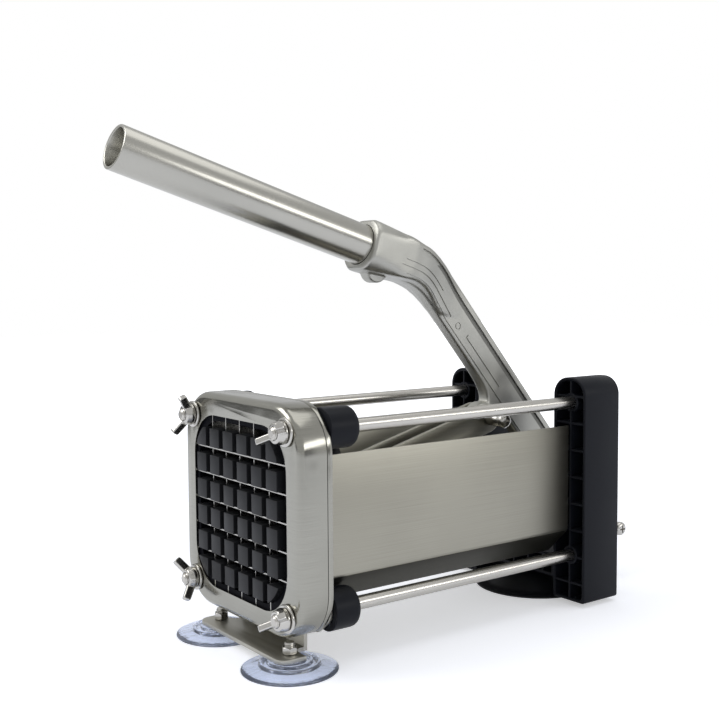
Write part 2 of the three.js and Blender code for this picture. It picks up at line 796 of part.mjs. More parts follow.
// Points of the bent bar, offset to one side of its middle line, between two distances along it
function barEdge(side, fromPivot, pastKnee) {
  const bend = THREE.MathUtils.degToRad(handleAngle - armAngle);
  const tangent = armKneeRadius * Math.tan(bend / 2);
  const armNormal = new THREE.Vector2(armDirection.y, -armDirection.x);
  const centre = knee.clone()
    .addScaledVector(armDirection, -tangent)
    .addScaledVector(armNormal, -armKneeRadius);
  const start = pivot.clone().addScaledVector(armDirection, fromPivot).addScaledVector(armNormal, side);
  const points = [start];
  for (let i = 0; i <= kneeSteps; i += 1) {
    const turn = bend * i / kneeSteps;
    const out = armNormal.clone().rotateAround(new THREE.Vector2(), turn);
    points.push(centre.clone().addScaledVector(out, armKneeRadius + side));
  }
  const handleNormal = new THREE.Vector2(handleDirection.y, -handleDirection.x);
  points.push(knee.clone().addScaledVector(handleDirection, pastKnee).addScaledVector(handleNormal, side));
  return points;
}

function barShape(low, high, fromPivot, pastKnee) {
  const back = barEdge(high, fromPivot, pastKnee);
  const front = barEdge(low, fromPivot, pastKnee).reverse();
  return new THREE.Shape([...back, ...front]);
}

function earShape() {
  const armNormal = new THREE.Vector2(armDirection.y, -armDirection.x);
  const ear = new THREE.Vector2(earY, earZ);
  const along = ear.clone().sub(pivot).dot(armDirection);
  const inside = pivot.clone().addScaledVector(armNormal, -armWidth / 4);
  const edge = (distance) => inside.clone().addScaledVector(armDirection, distance);
  const upper = edge(along + earRadius * earUpperShare);
  const lower = edge(along - earRadius * earLowerShare);
  const shape = new THREE.Shape();
  shape.moveTo(upper.x, upper.y);
  const corner = edge(along + earRadius * earCornerShare);
  const top = ear.clone().addScaledVector(new THREE.Vector2(...earTopShares), earRadius);
  const armFront = armNormal.clone().multiplyScalar(-armWidth / 4);
  shape.lineTo(upper.x + armFront.x, upper.y + armFront.y);
  shape.quadraticCurveTo(corner.x + armFront.x, corner.y + armFront.y, top.x, top.y);
  shape.absarc(ear.x, ear.y, earRadius, Math.PI * earArcShares[0], Math.PI * earArcShares[1]);
  shape.lineTo(lower.x, lower.y);
  return shape;
}

// Sunk panel between the raised borders on the straight run of the arm
function armPocketShape() {
  const armNormal = new THREE.Vector2(armDirection.y, -armDirection.x);
  const low = -armWidth / 2 + armBorder * panelLowShare;
  const high = armWidth / 2 - armBorder * panelHighShare;
  const radius = (high - low) / 2;
  const middleLine = (high + low) / 2;
  const points = [];
  const ends = [[hubRadius * panelStartShare + radius, Math.PI], [armLength - armKneeRadius, 0]];
  for (const [distance, turn] of ends) {
    for (let i = 0; i <= plateSteps; i += 1) {
      const angle = turn - Math.PI / 2 + Math.PI * i / plateSteps;
      points.push(pivot.clone()
        .addScaledVector(armDirection, distance + radius * Math.cos(angle))
        .addScaledVector(armNormal, middleLine - radius * Math.sin(angle)));
    }
  }
  return new THREE.Shape(points);
}

// The tube's own frame: its axis runs from a start distance past the knee towards the grip
function alongHandle(geometry) {
  const turn = Math.PI / 2 - THREE.MathUtils.degToRad(handleAngle);
  return geometry.rotateX(-turn).translate(0, knee.x, knee.y);
}

function makeLeverArm() {
  const half = armThickness / 2;
  const bar = alongX(barShape(-armWidth / 2, armWidth / 2, 0, socketFromKnee), -half, half);
  const ear = alongX(earShape(), -half, half, plateSteps);
  const earBoss = rodAlongX(earRadius, -earBossHalf, earBossHalf, earY, earZ, hingeSteps);
  const hub = rodAlongX(hubRadius, -hubHalfLength, hubHalfLength, pivotY, pivotZ, hingeSteps);
  const socketRadius = tubeRadius + seat + socketWall;
  const socketEnd = socketFromKnee - socketDepth;
  const socket = alongHandle(turned([
    [0, socketEnd - socketRadius * socketTipShare],
    [half * socketNoseShares[0], socketEnd - socketRadius * socketNoseShares[1]],
    [socketRadius * socketShoulderShares[0], socketEnd - socketRadius * socketShoulderShares[1]],
    [socketRadius * socketMouthShare, socketEnd],
    [socketRadius, socketEnd + socketDepth * socketRunShare],
    [socketRadius, socketFromKnee],
    [0, socketFromKnee],
  ], 0, 0));
  const handleNormal = new THREE.Vector2(handleDirection.y, -handleDirection.x);
  const lugPlace = knee.clone().addScaledVector(handleDirection, socketFromKnee - lugRadius * lugShare)
    .addScaledVector(handleNormal, -tubeRadius);
  const lug = rodAlongX(lugRadius, -half, half, lugPlace.x, lugPlace.y);
  const body = join(bar, ear, earBoss, hub, socket, lug);

  const bore = alongHandle(rodAlongZ(tubeRadius + seat, socketEnd, socketFromKnee + overrun, 0, 0));
  const earHole = rodAlongX(boltRadius + seat, -hubRadius, hubRadius, earY, earZ, hingeSteps);
  const hubHole = rodAlongX(boltRadius + seat, -hubRadius, hubRadius, pivotY, pivotZ, hingeSteps);
  const pocket = armPocketShape();
  const floor = half - armPocket;
  const depths = [[floor, half + overrun], [-half - overrun, -floor]];
  const pockets = depths.map(([from, to]) => alongX(pocket, from, to));
  return cut(body, bore, earHole, hubHole, ...pockets);
}

function makeHandleTube() {
  const start = socketFromKnee - socketDepth + seat;
  const tube = rodAlongZ(tubeRadius, start, handleFromKnee, 0, 0, tubeSteps);
  const bore = rodAlongZ(tubeRadius - tubeWall, start - overrun, handleFromKnee + overrun, 0, 0, tubeSteps);
  return alongHandle(cut(tube, bore));
}

// Link plates and the cross pin at their front end
function linkShape() {
  const slope = Math.atan2(earZ - ramPinZ, earY - ramPinY);
  const shape = new THREE.Shape();
  shape.absarc(earY, earZ, linkRadius, slope - Math.PI / 2, slope + Math.PI / 2);
  shape.absarc(ramPinY, ramPinZ, linkRadius, slope + Math.PI / 2, slope + Math.PI * 1.5);
  return shape;
}

function makeLinkPlate(side) {
  const from = side > 0 ? linkInner : -linkOuter;
  const plate = alongX(linkShape(), from, from + linkThickness, plateSteps);
  const low = from - overrun;
  const high = from + linkThickness + overrun;
  const earHole = rodAlongX(boltRadius + seat, low, high, earY, earZ, hingeSteps);
  const pinHole = rodAlongX(linkPinRadius + seat, low, high, ramPinY, ramPinZ, smallSteps);
  return cut(plate, earHole, pinHole);
}

function makeLinkPin() {
  const half = linkOuter + running * 2 + hookSheet + seat;
  const end = half + linkPinHeadHeight;
  const inHead = half + linkPinHeadHeight / 2;
  const bar = rodAlongX(linkPinRadius, -inHead, inHead, ramPinY, ramPinZ);
  const heads = [[half, end], [-end, -half]].map(([from, to]) =>
    rodAlongX(linkPinHeadRadius, from, to, ramPinY, ramPinZ));
  return join(bar, ...heads);
}

// Ram: a plate with a peg for each cell, rounded to pass through the holder, and a rim at its back
function makeRam() {
  const pegs = [];
  const half = pegSide / 2;
  for (let column = 0; column < cellsAcross; column += 1) {
    for (let row = 0; row < cellsAcross; row += 1) {
      const x = (column - (cellsAcross - 1) / 2) * cellPitch;
      const z = (row - (cellsAcross - 1) / 2) * cellPitch - pegDrop;
      pegs.push(box(x - half, x + half, pegTipY, ramPlateY + overrun, z - half, z + half));
    }
  }
  const guard = holderWindowSide - running * 2;
  const guardShape = roundedSquare(guard, holderCornerRadius - running);
  const envelope = alongY(guardShape, pegTipY - overrun, ramPlateEnd);
  const block = overlap(join(...pegs), envelope);
  const plate = alongY(roundedSquare(ramPlateSide, ramCornerRadius), ramPlateY, ramPlateEnd);
  const rimEnd = ramPlateEnd + ramRimDepth;
  const rimSide = ramPlateSide - ramRimWidth * 2;
  const rimOpening = roundedSquare(rimSide, ramCornerRadius - ramRimWidth);
  const rim = cut(
    alongY(roundedSquare(ramPlateSide, ramCornerRadius), ramPlateEnd - overrun, rimEnd),
    alongY(rimOpening, ramPlateEnd - overrun * 2, rimEnd + overrun),
  );
  const screwHole = rodAlongY(
    screwRadius + seat, ramPlateY + overrun, ramPlateEnd + overrun, 0, ramPinZ - gridHeight, smallSteps);
  return cut(join(block, plate, rim), screwHole).translate(0, 0, gridHeight);
}

// Hook bracket on the ram: the link's cross pin drops into its open slots
function makeHookBracket() {
  const inner = linkOuter + running;
  const outer = inner + hookSheet;
  const baseY = ramPlateEnd + seat;
  const baseEnd = baseY + hookSheet;
  const base = box(-outer, outer, baseY, baseEnd, ramPinZ - hookHalfHeight, ramPinZ + hookHalfHeight);
  const cheek = new THREE.Shape();
  cheek.moveTo(baseY, ramPinZ - hookHalfHeight);
  cheek.lineTo(baseEnd, ramPinZ - hookHalfHeight);
  cheek.absarc(ramPinY, ramPinZ, hookReach, Math.PI * hookArcShare, 0);
  cheek.lineTo(ramPinY + hookReach, ramPinZ + hookTop);
  cheek.lineTo(baseEnd, ramPinZ + hookHalfHeight);
  cheek.lineTo(baseY, ramPinZ + hookHalfHeight);
  const cheeks = [[inner, outer], [-outer, -inner]].map(([from, to]) => alongX(cheek, from, to, plateSteps));
  const wide = linkPinRadius + running;
  const seatRound = rodAlongX(wide, -outer - overrun, outer + overrun, ramPinY, ramPinZ, smallSteps);
  const corner = wide * Math.SQRT1_2;
  const reach = pinDrift + wide;
  const mouth = alongX(polygon([
    [ramPinY + wide, ramPinZ], [ramPinY + wide, ramPinZ + hookHalfHeight + overrun],
    [ramPinY - reach, ramPinZ + hookHalfHeight + overrun],
    [ramPinY - reach, ramPinZ + reach - corner * 2],
    [ramPinY - corner, ramPinZ - corner],
  ]), -outer - overrun, outer + overrun);
  const hole = rodAlongY(screwRadius + seat, baseY - overrun, baseEnd + overrun, 0, ramPinZ, smallSteps);
  return cut(join(base, ...cheeks), seatRound, mouth, hole);
}

function makeHookScrew() {
  const length = hookSheet + seat * 2 + ramPlateThickness - overrun - seat;
  const screw = panScrew(screwRadius, screwHeadRadius, screwHeadHeight, length);
  const y = ramPlateEnd + seat * 2 + hookSheet;
  return screw.rotateX(-Math.PI / 2).translate(0, y, ramPinZ);
}

// Assembly
part('front_cover', makeFrontCover(), 'stainless');
part('back_plate', makeBackPlate(), 'stainless');
part('blade_holder', makeBladeHolder(), 'plastic');
bladeLines.forEach((place, index) => {
  const level = bladeStrip(false).translate(0, 0, gridHeight + place);
  const upright = bladeStrip(true).rotateY(Math.PI / 2).translate(place, 0, gridHeight);
  part(`blade_level_${index + 1}`, level, 'stainless');
  part(`blade_upright_${index + 1}`, upright, 'stainless');
});
for (const corner of corners) {
  part(`tie_rod_${corner.name}`, makeRod(corner), 'stainless');
  part(`sleeve_${corner.name}`, makeSleeve(corner), 'plastic');
  part(`washer_${corner.name}`, makeWasher(corner), 'fastener');
  part(`wing_nut_${corner.name}`, makeWingNut(corner), 'fastener');
  part(`rear_screw_${corner.name}`, makeRearScrew(corner), 'fastener');
}
part('trough', makeTrough(), 'brushed');
part('rear_frame', makeRearFrame(), 'plastic');
part('foot_bracket', makeFootBracket(), 'stainless');
part('rear_suction_cup', makeRearCup(), 'rubber');
for (const [name, side] of [['right', 1], ['left', -1]]) {
  part(`front_suction_cup_${name}`, makeFrontCup(side), 'clear');
  part(`cup_stud_${name}`, makeCupStud(side), 'fastener');
  part(`cup_nut_${name}`, makeCupNut(side), 'fastener');
  part(`bracket_screw_${name}`, makeBracketScrew(side), 'fastener');
  part(`link_plate_${name}`, makeLinkPlate(side), 'stainless');
}
const bracketClamp = hubHalfLength + running + cheekThickness;
part('pivot_bracket', makePivotBracket(), 'stainless');
part('pivot_bolt', makeBolt(bracketClamp, pivotY, pivotZ), 'fastener');
part('pivot_sleeve', makeBoltSleeve(bracketClamp, pivotY, pivotZ), 'fastener');
part('pivot_nut', makeBoltNut(bracketClamp, pivotY, pivotZ), 'fastener');
part('lever_arm', makeLeverArm(), 'casting');
part('handle_tube', makeHandleTube(), 'brushed');
part('link_bolt', makeBolt(linkOuter, earY, earZ), 'fastener');
part('link_sleeve', makeBoltSleeve(linkOuter, earY, earZ), 'fastener');
part('link_nut', makeBoltNut(linkOuter, earY, earZ), 'fastener');
part('link_pin', makeLinkPin(), 'fastener');
part('ram', makeRam(), 'plastic');
part('ram_hook', makeHookBracket(), 'stainless');
part('hook_screw', makeHookScrew(), 'fastener');

// The origin is the middle of the footprint of the whole machine, on the bench
const middle = new THREE.Box3().setFromObject(cutter).getCenter(new THREE.Vector3());
for (const mesh of cutter.children) {
  mesh.position.set(0, -middle.y, 0);
}

export default cutter;
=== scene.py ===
import math
import bpy
from mathutils import Matrix, Vector


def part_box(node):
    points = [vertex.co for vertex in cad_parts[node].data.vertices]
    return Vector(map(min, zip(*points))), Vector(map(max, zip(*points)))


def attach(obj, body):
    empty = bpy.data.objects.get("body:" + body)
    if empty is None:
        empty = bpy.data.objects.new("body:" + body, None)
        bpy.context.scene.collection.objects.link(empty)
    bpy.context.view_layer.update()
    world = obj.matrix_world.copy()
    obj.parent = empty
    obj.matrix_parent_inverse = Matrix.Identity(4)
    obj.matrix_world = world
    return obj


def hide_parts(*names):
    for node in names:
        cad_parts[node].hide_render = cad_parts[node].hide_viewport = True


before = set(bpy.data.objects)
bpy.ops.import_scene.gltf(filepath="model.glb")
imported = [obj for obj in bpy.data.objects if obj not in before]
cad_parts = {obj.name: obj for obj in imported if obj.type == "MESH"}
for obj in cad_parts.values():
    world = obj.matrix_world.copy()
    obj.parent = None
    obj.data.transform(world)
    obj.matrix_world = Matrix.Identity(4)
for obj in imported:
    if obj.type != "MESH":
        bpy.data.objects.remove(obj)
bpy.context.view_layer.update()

mm = 0.001
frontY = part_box("front_cover")[0][1]  # the face of the cover, y = 0 in the sizes below
turnSteps = 72
cornerSteps = 14
slack = 3  # a cutting tool reaches this far past what it cuts
hair = 0.00001  # metres between two places that count as one


def place(x, y, z):
    return Vector((x * mm, frontY + y * mm, z * mm))


# modelling helpers
def clearSelection():
    if bpy.context.object and bpy.context.object.mode != "OBJECT":
        bpy.ops.object.mode_set(mode="OBJECT")
    bpy.ops.object.select_all(action="DESELECT")


def pick(*pieces):
    clearSelection()
    for piece in pieces:
        piece.select_set(True)
    bpy.context.view_layer.objects.active = pieces[0]


def settle(piece):
    pick(piece)
    bpy.ops.object.transform_apply(location=True, rotation=True, scale=True)
    return piece


def outward(piece):
    pick(piece)
    bpy.ops.object.mode_set(mode="EDIT")
    bpy.ops.mesh.select_all(action="SELECT")
    bpy.ops.mesh.remove_doubles(threshold=0.000002)
    bpy.ops.mesh.normals_make_consistent(inside=False)
    bpy.ops.object.mode_set(mode="OBJECT")
    return piece


def smooth(piece, degrees=35):
    pick(piece)
    bpy.ops.object.shade_smooth_by_angle(angle=math.radians(degrees))
    return piece


def soften(piece, width, segments=2, degrees=30):
    pick(piece)
    bevel = piece.modifiers.new("soften", "BEVEL")
    bevel.width = width * mm
    bevel.segments = segments
    bevel.limit_method = "ANGLE"
    bevel.angle_limit = math.radians(degrees)
    bpy.ops.object.modifier_apply(modifier="soften")
    return piece


def choose(piece, faces, wanted):
    # the faces or else the edges whose corners pass the test are selected, in edit mode
    pick(piece)
    bpy.ops.object.mode_set(mode="EDIT")
    bpy.ops.mesh.select_all(action="DESELECT")
    bpy.ops.object.mode_set(mode="OBJECT")
    for element in piece.data.polygons if faces else piece.data.edges:
        element.select = wanted(*(piece.data.vertices[index].co for index in element.vertices))
    bpy.context.tool_settings.mesh_select_mode = (False, not faces, faces)
    bpy.ops.object.mode_set(mode="EDIT")


def discard(*pieces):
    for piece in pieces:
        bpy.data.objects.remove(piece, do_unlink=True)


def carve(piece, *tools, operation="DIFFERENCE"):
    for tool in tools:
        pick(piece)
        boolean = piece.modifiers.new("carve", "BOOLEAN")
        boolean.operation = operation
        boolean.solver = "EXACT"
        boolean.object = tool
        bpy.ops.object.modifier_apply(modifier="carve")
        discard(tool)
    return piece


def fuse(piece, *others):
    pick(piece, *others)
    bpy.ops.object.join()
    return piece


def copyOf(piece, name, shift=(0, 0, 0)):
    twin = piece.copy()
    twin.data = piece.data.copy()
    twin.name = name
    bpy.context.collection.objects.link(twin)
    twin.location = Vector(shift) * mm
    return settle(twin)


def castOver(piece, voxel, rounds):
    # what is joined gets one skin, which is relaxed like the surface of a casting
    pick(piece)
    skin = piece.modifiers.new("skin", "REMESH")
    skin.mode = "VOXEL"
    skin.voxel_size = voxel * mm
    bpy.ops.object.modifier_apply(modifier="skin")
    relax = piece.modifiers.new("relax", "SMOOTH")
    relax.factor = 0.5
    relax.iterations = rounds
    bpy.ops.object.modifier_apply(modifier="relax")
    return piece


def placedAlong(piece, axis, spot):
    # a piece made standing on the origin along +Z is laid along an axis and put in its place
    quarter = math.pi / 2
    turns = {
        "+X": (0, quarter, 0), "-X": (0, -quarter, 0), "+Y": (-quarter, 0, 0), "-Y": (quarter, 0, 0),
        "+Z": (0, 0, 0),
    }
    piece.rotation_euler = turns[axis]
    piece.location = spot
    return settle(piece)


def turned(name, rings, closedRing=False, steps=turnSteps):
    # rings of (radius, height): a circle is drawn, then extruded and resized ring by ring
    clearSelection()
    bpy.context.tool_settings.mesh_select_mode = (True, False, False)
    radius, height = rings[0]
    bpy.ops.mesh.primitive_circle_add(vertices=steps, radius=radius * mm, location=(0, 0, height * mm))
    piece = bpy.context.object
    piece.name = name
    bpy.ops.object.transform_apply(location=True, rotation=False, scale=False)
    bpy.ops.object.mode_set(mode="EDIT")
    bpy.ops.mesh.select_all(action="SELECT")
    if not closedRing:
        bpy.ops.mesh.edge_face_add()
        bpy.ops.mesh.select_all(action="SELECT")
    for nextRadius, nextHeight in rings[1:]:
        rise = (nextHeight - height) * mm
        bpy.ops.mesh.extrude_region_move(TRANSFORM_OT_translate={"value": (0, 0, rise)})
        share = nextRadius / radius
        bpy.ops.transform.resize(value=(share, share, 1), center_override=(0, 0, nextHeight * mm))
        radius, height = nextRadius, nextHeight
    bpy.ops.object.mode_set(mode="OBJECT")
    return outward(piece)


def drilled(piece, radius, height, steps=40):
    # a bore through a piece that stands on the origin
    return carve(piece, turned("boreTool", [(radius, -slack), (radius, height + slack)], steps=steps))


def ringOf(name, outer, inner, low, high, edge=0.25):
    rings = [
        (inner + edge, low), (outer - edge, low), (outer, low + edge), (outer, high - edge),
        (outer - edge, high), (inner + edge, high), (inner, high - edge), (inner, low + edge),
        (inner + edge, low),
    ]
    return smooth(turned(name, rings, closedRing=True), 50)


def traced(name, outline, depth):
    # one point is extruded round the outline, the outline is filled and given its depth along +Z
    clearSelection()
    bpy.context.tool_settings.mesh_select_mode = (True, False, False)
    bpy.ops.mesh.primitive_plane_add(size=mm, location=(0, 0, 0))
    piece = bpy.context.object
    piece.name = name
    bpy.ops.object.mode_set(mode="EDIT")
    bpy.ops.mesh.select_all(action="SELECT")
    bpy.ops.mesh.merge(type="CENTER")
    last = Vector(outline[0])
    bpy.ops.transform.translate(value=(last.x * mm, last.y * mm, 0))
    for point in outline[1:]:
        spot = Vector(point)
        step = (spot - last) * mm
        bpy.ops.mesh.extrude_region_move(TRANSFORM_OT_translate={"value": (step.x, step.y, 0)})
        last = spot
    bpy.ops.mesh.select_all(action="SELECT")
    bpy.ops.mesh.edge_face_add()
    bpy.ops.mesh.extrude_region_move(TRANSFORM_OT_translate={"value": (0, 0, depth * mm)})
    bpy.ops.object.mode_set(mode="OBJECT")
    return outward(piece)


def acrossXZ(piece, y):
    # drawn on X and Z, its depth goes along +Y from y
    piece.rotation_euler = (math.pi / 2, 0, 0)
    piece.location = (0, 0, 0)
    settle(piece)
    low = min(vertex.co.y for vertex in piece.data.vertices)
    piece.location = (0, frontY + y * mm - low, 0)
    return settle(piece)


def acrossYZ(piece, x):
    # drawn on Y and Z, its depth goes along +X from x
    piece.rotation_euler = (math.pi / 2, 0, math.pi / 2)
    settle(piece)
    low = min(vertex.co.x for vertex in piece.data.vertices)
    piece.location = (x * mm - low, frontY, 0)
    return settle(piece)


def block(name, x0, x1, y0, y1, z0, z1):
    clearSelection()
    middle = place((x0 + x1) / 2, (y0 + y1) / 2, (z0 + z1) / 2)
    size = ((x1 - x0) * mm, (y1 - y0) * mm, (z1 - z0) * mm)
    bpy.ops.mesh.primitive_cube_add(size=1, location=middle, scale=size)
    piece = bpy.context.object
    piece.name = name
    return settle(piece)


def arc(cx, cz, radius, start, end, steps=cornerSteps):
    points = []
    for i in range(steps + 1):
        angle = math.radians(start + (end - start) * i / steps)
        points.append((cx + radius * math.cos(angle), cz + radius * math.sin(angle)))
    return points


def roundedSquare(half, radius, cz):
    flat = half - radius
    return (arc(flat, cz + flat, radius, 0, 90) + arc(-flat, cz + flat, radius, 90, 180)
            + arc(-flat, cz - flat, radius, 180, 270) + arc(flat, cz - flat, radius, 270, 360))


def plateAcross(name, half, radius, y0, y1, cz):
    return acrossXZ(traced(name, roundedSquare(half, radius, cz), y1 - y0), y0)


def rodY(name, radius, y0, y1, x, z, steps=32):
    piece = turned(name, [(radius, 0), (radius, y1 - y0)], steps=steps)
    return placedAlong(piece, "+Y", place(x, y0, z))


def rodX(name, radius, x0, x1, y, z, steps=48):
    piece = turned(name, [(radius, 0), (radius, x1 - x0)], steps=steps)
    return placedAlong(piece, "+X", place(x0, y, z))


def use(piece, material, body, slot, *nodes):
    piece.data.materials.clear()
    piece.data.materials.append(material)
    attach(piece, body)
    if nodes:
        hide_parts(*nodes)
    return piece


# materials
noiseLow, noiseHigh = 0.3, 0.7  # most values of a noise lie between these
evenly = (1, 1, 1)


def feed(tree, node, inputs):
    # an input is a value or another node's output
    for key, value in inputs.items():
        if isinstance(value, bpy.types.NodeSocket):
            tree.links.new(value, node.inputs[key])
        else:
            node.inputs[key].default_value = value
    return node


def nodeOf(tree, kind, inputs):
    return feed(tree, tree.nodes.new("ShaderNode" + kind), inputs)


def mathOf(tree, operation, *terms):
    node = nodeOf(tree, "Math", dict(enumerate(terms)))
    node.operation = operation
    return node.outputs["Value"]


def newMaterial(name, colour, roughness, inputs):
    # colour and roughness stand in wherever the nodes aren't run
    material = bpy.data.materials.new(name)
    material.use_nodes = True
    tree = material.node_tree
    shader = feed(tree, tree.nodes["Principled BSDF"], inputs)
    return material, tree, feed(tree, shader, {"Base Color": (*colour, 1), "Roughness": roughness})


def noiseOn(tree, stretch, scale, detail):
    coords = nodeOf(tree, "TexCoord", {})
    mapping = nodeOf(tree, "Mapping", {"Vector": coords.outputs["Object"], "Scale": stretch})
    inputs = {"Vector": mapping.outputs["Vector"], "Scale": scale, "Detail": detail}
    return nodeOf(tree, "TexNoise", inputs).outputs["Fac"]


def rangeOf(tree, source, low, high, fromLow=noiseLow, fromHigh=noiseHigh):
    inputs = {"Value": source, "From Min": fromLow, "From Max": fromHigh, "To Min": low, "To Max": high}
    return nodeOf(tree, "MapRange", inputs).outputs["Result"]


def bumpBy(tree, source, distance, strength, follower):
    # the follower is the shader, or another bump that lies on top of this one
    bump = nodeOf(tree, "Bump", {"Height": source, "Distance": distance * mm, "Strength": strength})
    feed(tree, follower, {"Normal": bump.outputs["Normal"]})
    return bump


def tintBy(tree, source, colour, look, shader):
    ramp = nodeOf(tree, "ValToRGB", {"Fac": source})
    for element, position, share in zip(
            ramp.color_ramp.elements, (noiseLow, noiseHigh), (look["dark"], look["light"])):
        element.position = position
        element.color = (*(part * share for part in colour), 1)
    feed(tree, shader, {"Base Color": ramp.outputs["Color"]})


steelLook = {"fineDetail": 6, "clouds": (18, 18, 18), "cloudDetail": 3, "fineShare": 0.6, "cloudShare": 0.4,
             "dark": 0.86, "light": 1.1, "scratch": 0.35, "swell": (28, 28, 28), "swellDetail": 2}
castLook = {"grain": 1400, "grainDetail": 5, "cloud": 60, "cloudDetail": 4, "smoother": 0.06, "rougher": 0.1,
            "dark": 0.88, "light": 1.08, "depth": 0.03, "bump": 0.5}
plasticLook = {"grainDetail": 3, "cloud": 45, "cloudDetail": 3, "smoother": 0.05, "rougher": 0.07,
               "dark": 0.9, "light": 1.12, "depth": 0.02, "bump": 0.35}
vinylLook = {"clear": 0.92, "ior": 1.38, "roughness": 0.08, "cloud": 90, "cloudDetail": 3, "smooth": 0.05,
             "rough": 0.13, "dark": 0.96, "light": 1.02, "depth": 0.8, "bump": 0.6}


def brushedSteel(name, colour, roughness, grain, spread, depth, waves=0):
    # fine scratches along the direction in which the grain is short, and shallow waves in a pressed sheet
    material, tree, shader = newMaterial(name, colour, roughness, {"Metallic": 1})
    fine = noiseOn(tree, grain, 1, steelLook["fineDetail"])
    cloudy = noiseOn(tree, steelLook["clouds"], 1, steelLook["cloudDetail"])
    feed(tree, shader, {"Roughness": rangeOf(tree, fine, roughness - spread / 2, roughness + spread)})
    clouds = mathOf(tree, "MULTIPLY", cloudy, steelLook["cloudShare"])
    blend = mathOf(tree, "MULTIPLY_ADD", fine, steelLook["fineShare"], clouds)
    tintBy(tree, blend, colour, steelLook, shader)
    scratches = bumpBy(tree, fine, depth, steelLook["scratch"], shader)
    if waves:
        swell = noiseOn(tree, steelLook["swell"], 1, steelLook["swellDetail"])
        bumpBy(tree, swell, waves, 1, scratches)
    return material


def grained(name, colour, roughness, grain, look, inputs):
    # fine grains in the surface, under clouds of tint and roughness
    material, tree, shader = newMaterial(name, colour, roughness, inputs)
    grains = noiseOn(tree, evenly, grain, look["grainDetail"])
    cloudy = noiseOn(tree, evenly, look["cloud"], look["cloudDetail"])
    smoothest, roughest = roughness - look["smoother"], roughness + look["rougher"]
    feed(tree, shader, {"Roughness": rangeOf(tree, cloudy, smoothest, roughest)})
    tintBy(tree, cloudy, colour, look, shader)
    bumpBy(tree, grains, look["depth"], look["bump"], shader)
    return material


def castMetal(name, colour, roughness):
    return grained(name, colour, roughness, castLook["grain"], castLook, {"Metallic": 1})


def mouldedPlastic(name, colour, roughness, grain, gleam):
    return grained(name, colour, roughness, grain, plasticLook, {"Metallic": 0, "Specular IOR Level": gleam})


def clearVinyl(name, colour):
    inputs = {"Metallic": 0, "Transmission Weight": vinylLook["clear"], "IOR": vinylLook["ior"]}
    material, tree, shader = newMaterial(name, colour, vinylLook["roughness"], inputs)
    cloudy = noiseOn(tree, evenly, vinylLook["cloud"], vinylLook["cloudDetail"])
    feed(tree, shader, {"Roughness": rangeOf(tree, cloudy, vinylLook["smooth"], vinylLook["rough"])})
    tintBy(tree, cloudy, colour, vinylLook, shader)
    bumpBy(tree, cloudy, vinylLook["depth"], vinylLook["bump"], shader)
    return material


finishes = {
    "coverSteel": brushedSteel(
        "pressed cover steel", (0.345, 0.338, 0.30), 0.18, (60, 60, 5200), 0.03, 0.0012, 1.4),
    "sheetSteel": brushedSteel(
        "satin sheet steel", (0.36, 0.346, 0.294), 0.40, (3000, 16, 3000), 0.04, 0.002),
    # a darker steel that paints the shade on the slanting lower faces of the trough
    "chamferShadeSteel": brushedSteel(
        "sheet steel with painted shade", (0.085, 0.083, 0.07), 0.45, (3000, 16, 3000), 0.04, 0.002),
    "bracketSteel": brushedSteel(
        "satin bracket steel", (0.50, 0.485, 0.43), 0.44, (3000, 3000, 3000), 0.04, 0.001),
    "bladeSteel": brushedSteel("blade steel", (0.50, 0.49, 0.46), 0.28, (2500, 2500, 2500), 0.06, 0.002),
    "rodSteel": brushedSteel("ground rod steel", (0.56, 0.54, 0.50), 0.26, (3600, 40, 3600), 0.04, 0.001),
    "tubeSteel": brushedSteel(
        "brushed tube steel", (0.44, 0.43, 0.39), 0.25, (3600, 3600, 3600), 0.03, 0.0006),
    "boltSteel": brushedSteel(
        "bright bolt steel", (0.56, 0.545, 0.51), 0.2, (3000, 3000, 3000), 0.05, 0.0015),
    "castAlloy": castMetal("satin cast alloy", (0.42, 0.415, 0.38), 0.4),
    # a darker cast alloy that paints the shade on the floor of the sunken band of the lever
    "recessShadeCast": castMetal("cast alloy with painted recess shade", (0.22, 0.217, 0.2), 0.55),
    "blackPlastic": mouldedPlastic("black moulded plastic", (0.0075, 0.0085, 0.012), 0.44, 3000, 0.14),
    "ramPlastic": mouldedPlastic("black ram plastic", (0.011, 0.0115, 0.013), 0.42, 3000, 0.22),
    # a blacker copy of the black plastic for the blade holder deep behind the window: painted shade
    "shadedGridPlastic": mouldedPlastic("grid holder plastic with painted shade", (0.0035, 0.0038, 0.006), 0.6, 3000, 0.06),
    "blackRubber": mouldedPlastic("black rubber", (0.011, 0.0115, 0.014), 0.5, 2400, 0.3),
    "clearVinyl": clearVinyl("clear vinyl", (0.60, 0.65, 0.77)),
}
print("materials made")

# what several pieces share
gridZ = 67.2
axes = {"pivot": (238.6, 28.2), "link": (149.7, 97.9), "pin": (46.5, 70.7)}

# cover and plates
cover = {"half": 52, "radius": 22, "depth": 14.1, "bend": 3.6, "sheet": 1, "window": 41.5,
         "windowRadius": 20, "cut": (-3, 4)}
backPlate = {"front": 14.4, "end": 17.0, "window": 40.3, "cut": (12, 20)}
studs = {"x": 41.6, "z": 40.4, "hole": 3.1}
corners = {
    "top_right": (studs["x"], gridZ + studs["z"]),
    "top_left": (-studs["x"], gridZ + studs["z"]),
    "bottom_left": (-studs["x"], gridZ - studs["z"]),
    "bottom_right": (studs["x"], gridZ - studs["z"]),
}


def openPlate(plate, window, low, high):
    # the window and the four holes of the rods, by tools that reach from low to high
    carve(plate, plateAcross("windowTool", window, cover["windowRadius"], low, high, gridZ))
    for x, z in corners.values():
        carve(plate, rodY("holeTool", studs["hole"], low, high, x, z))


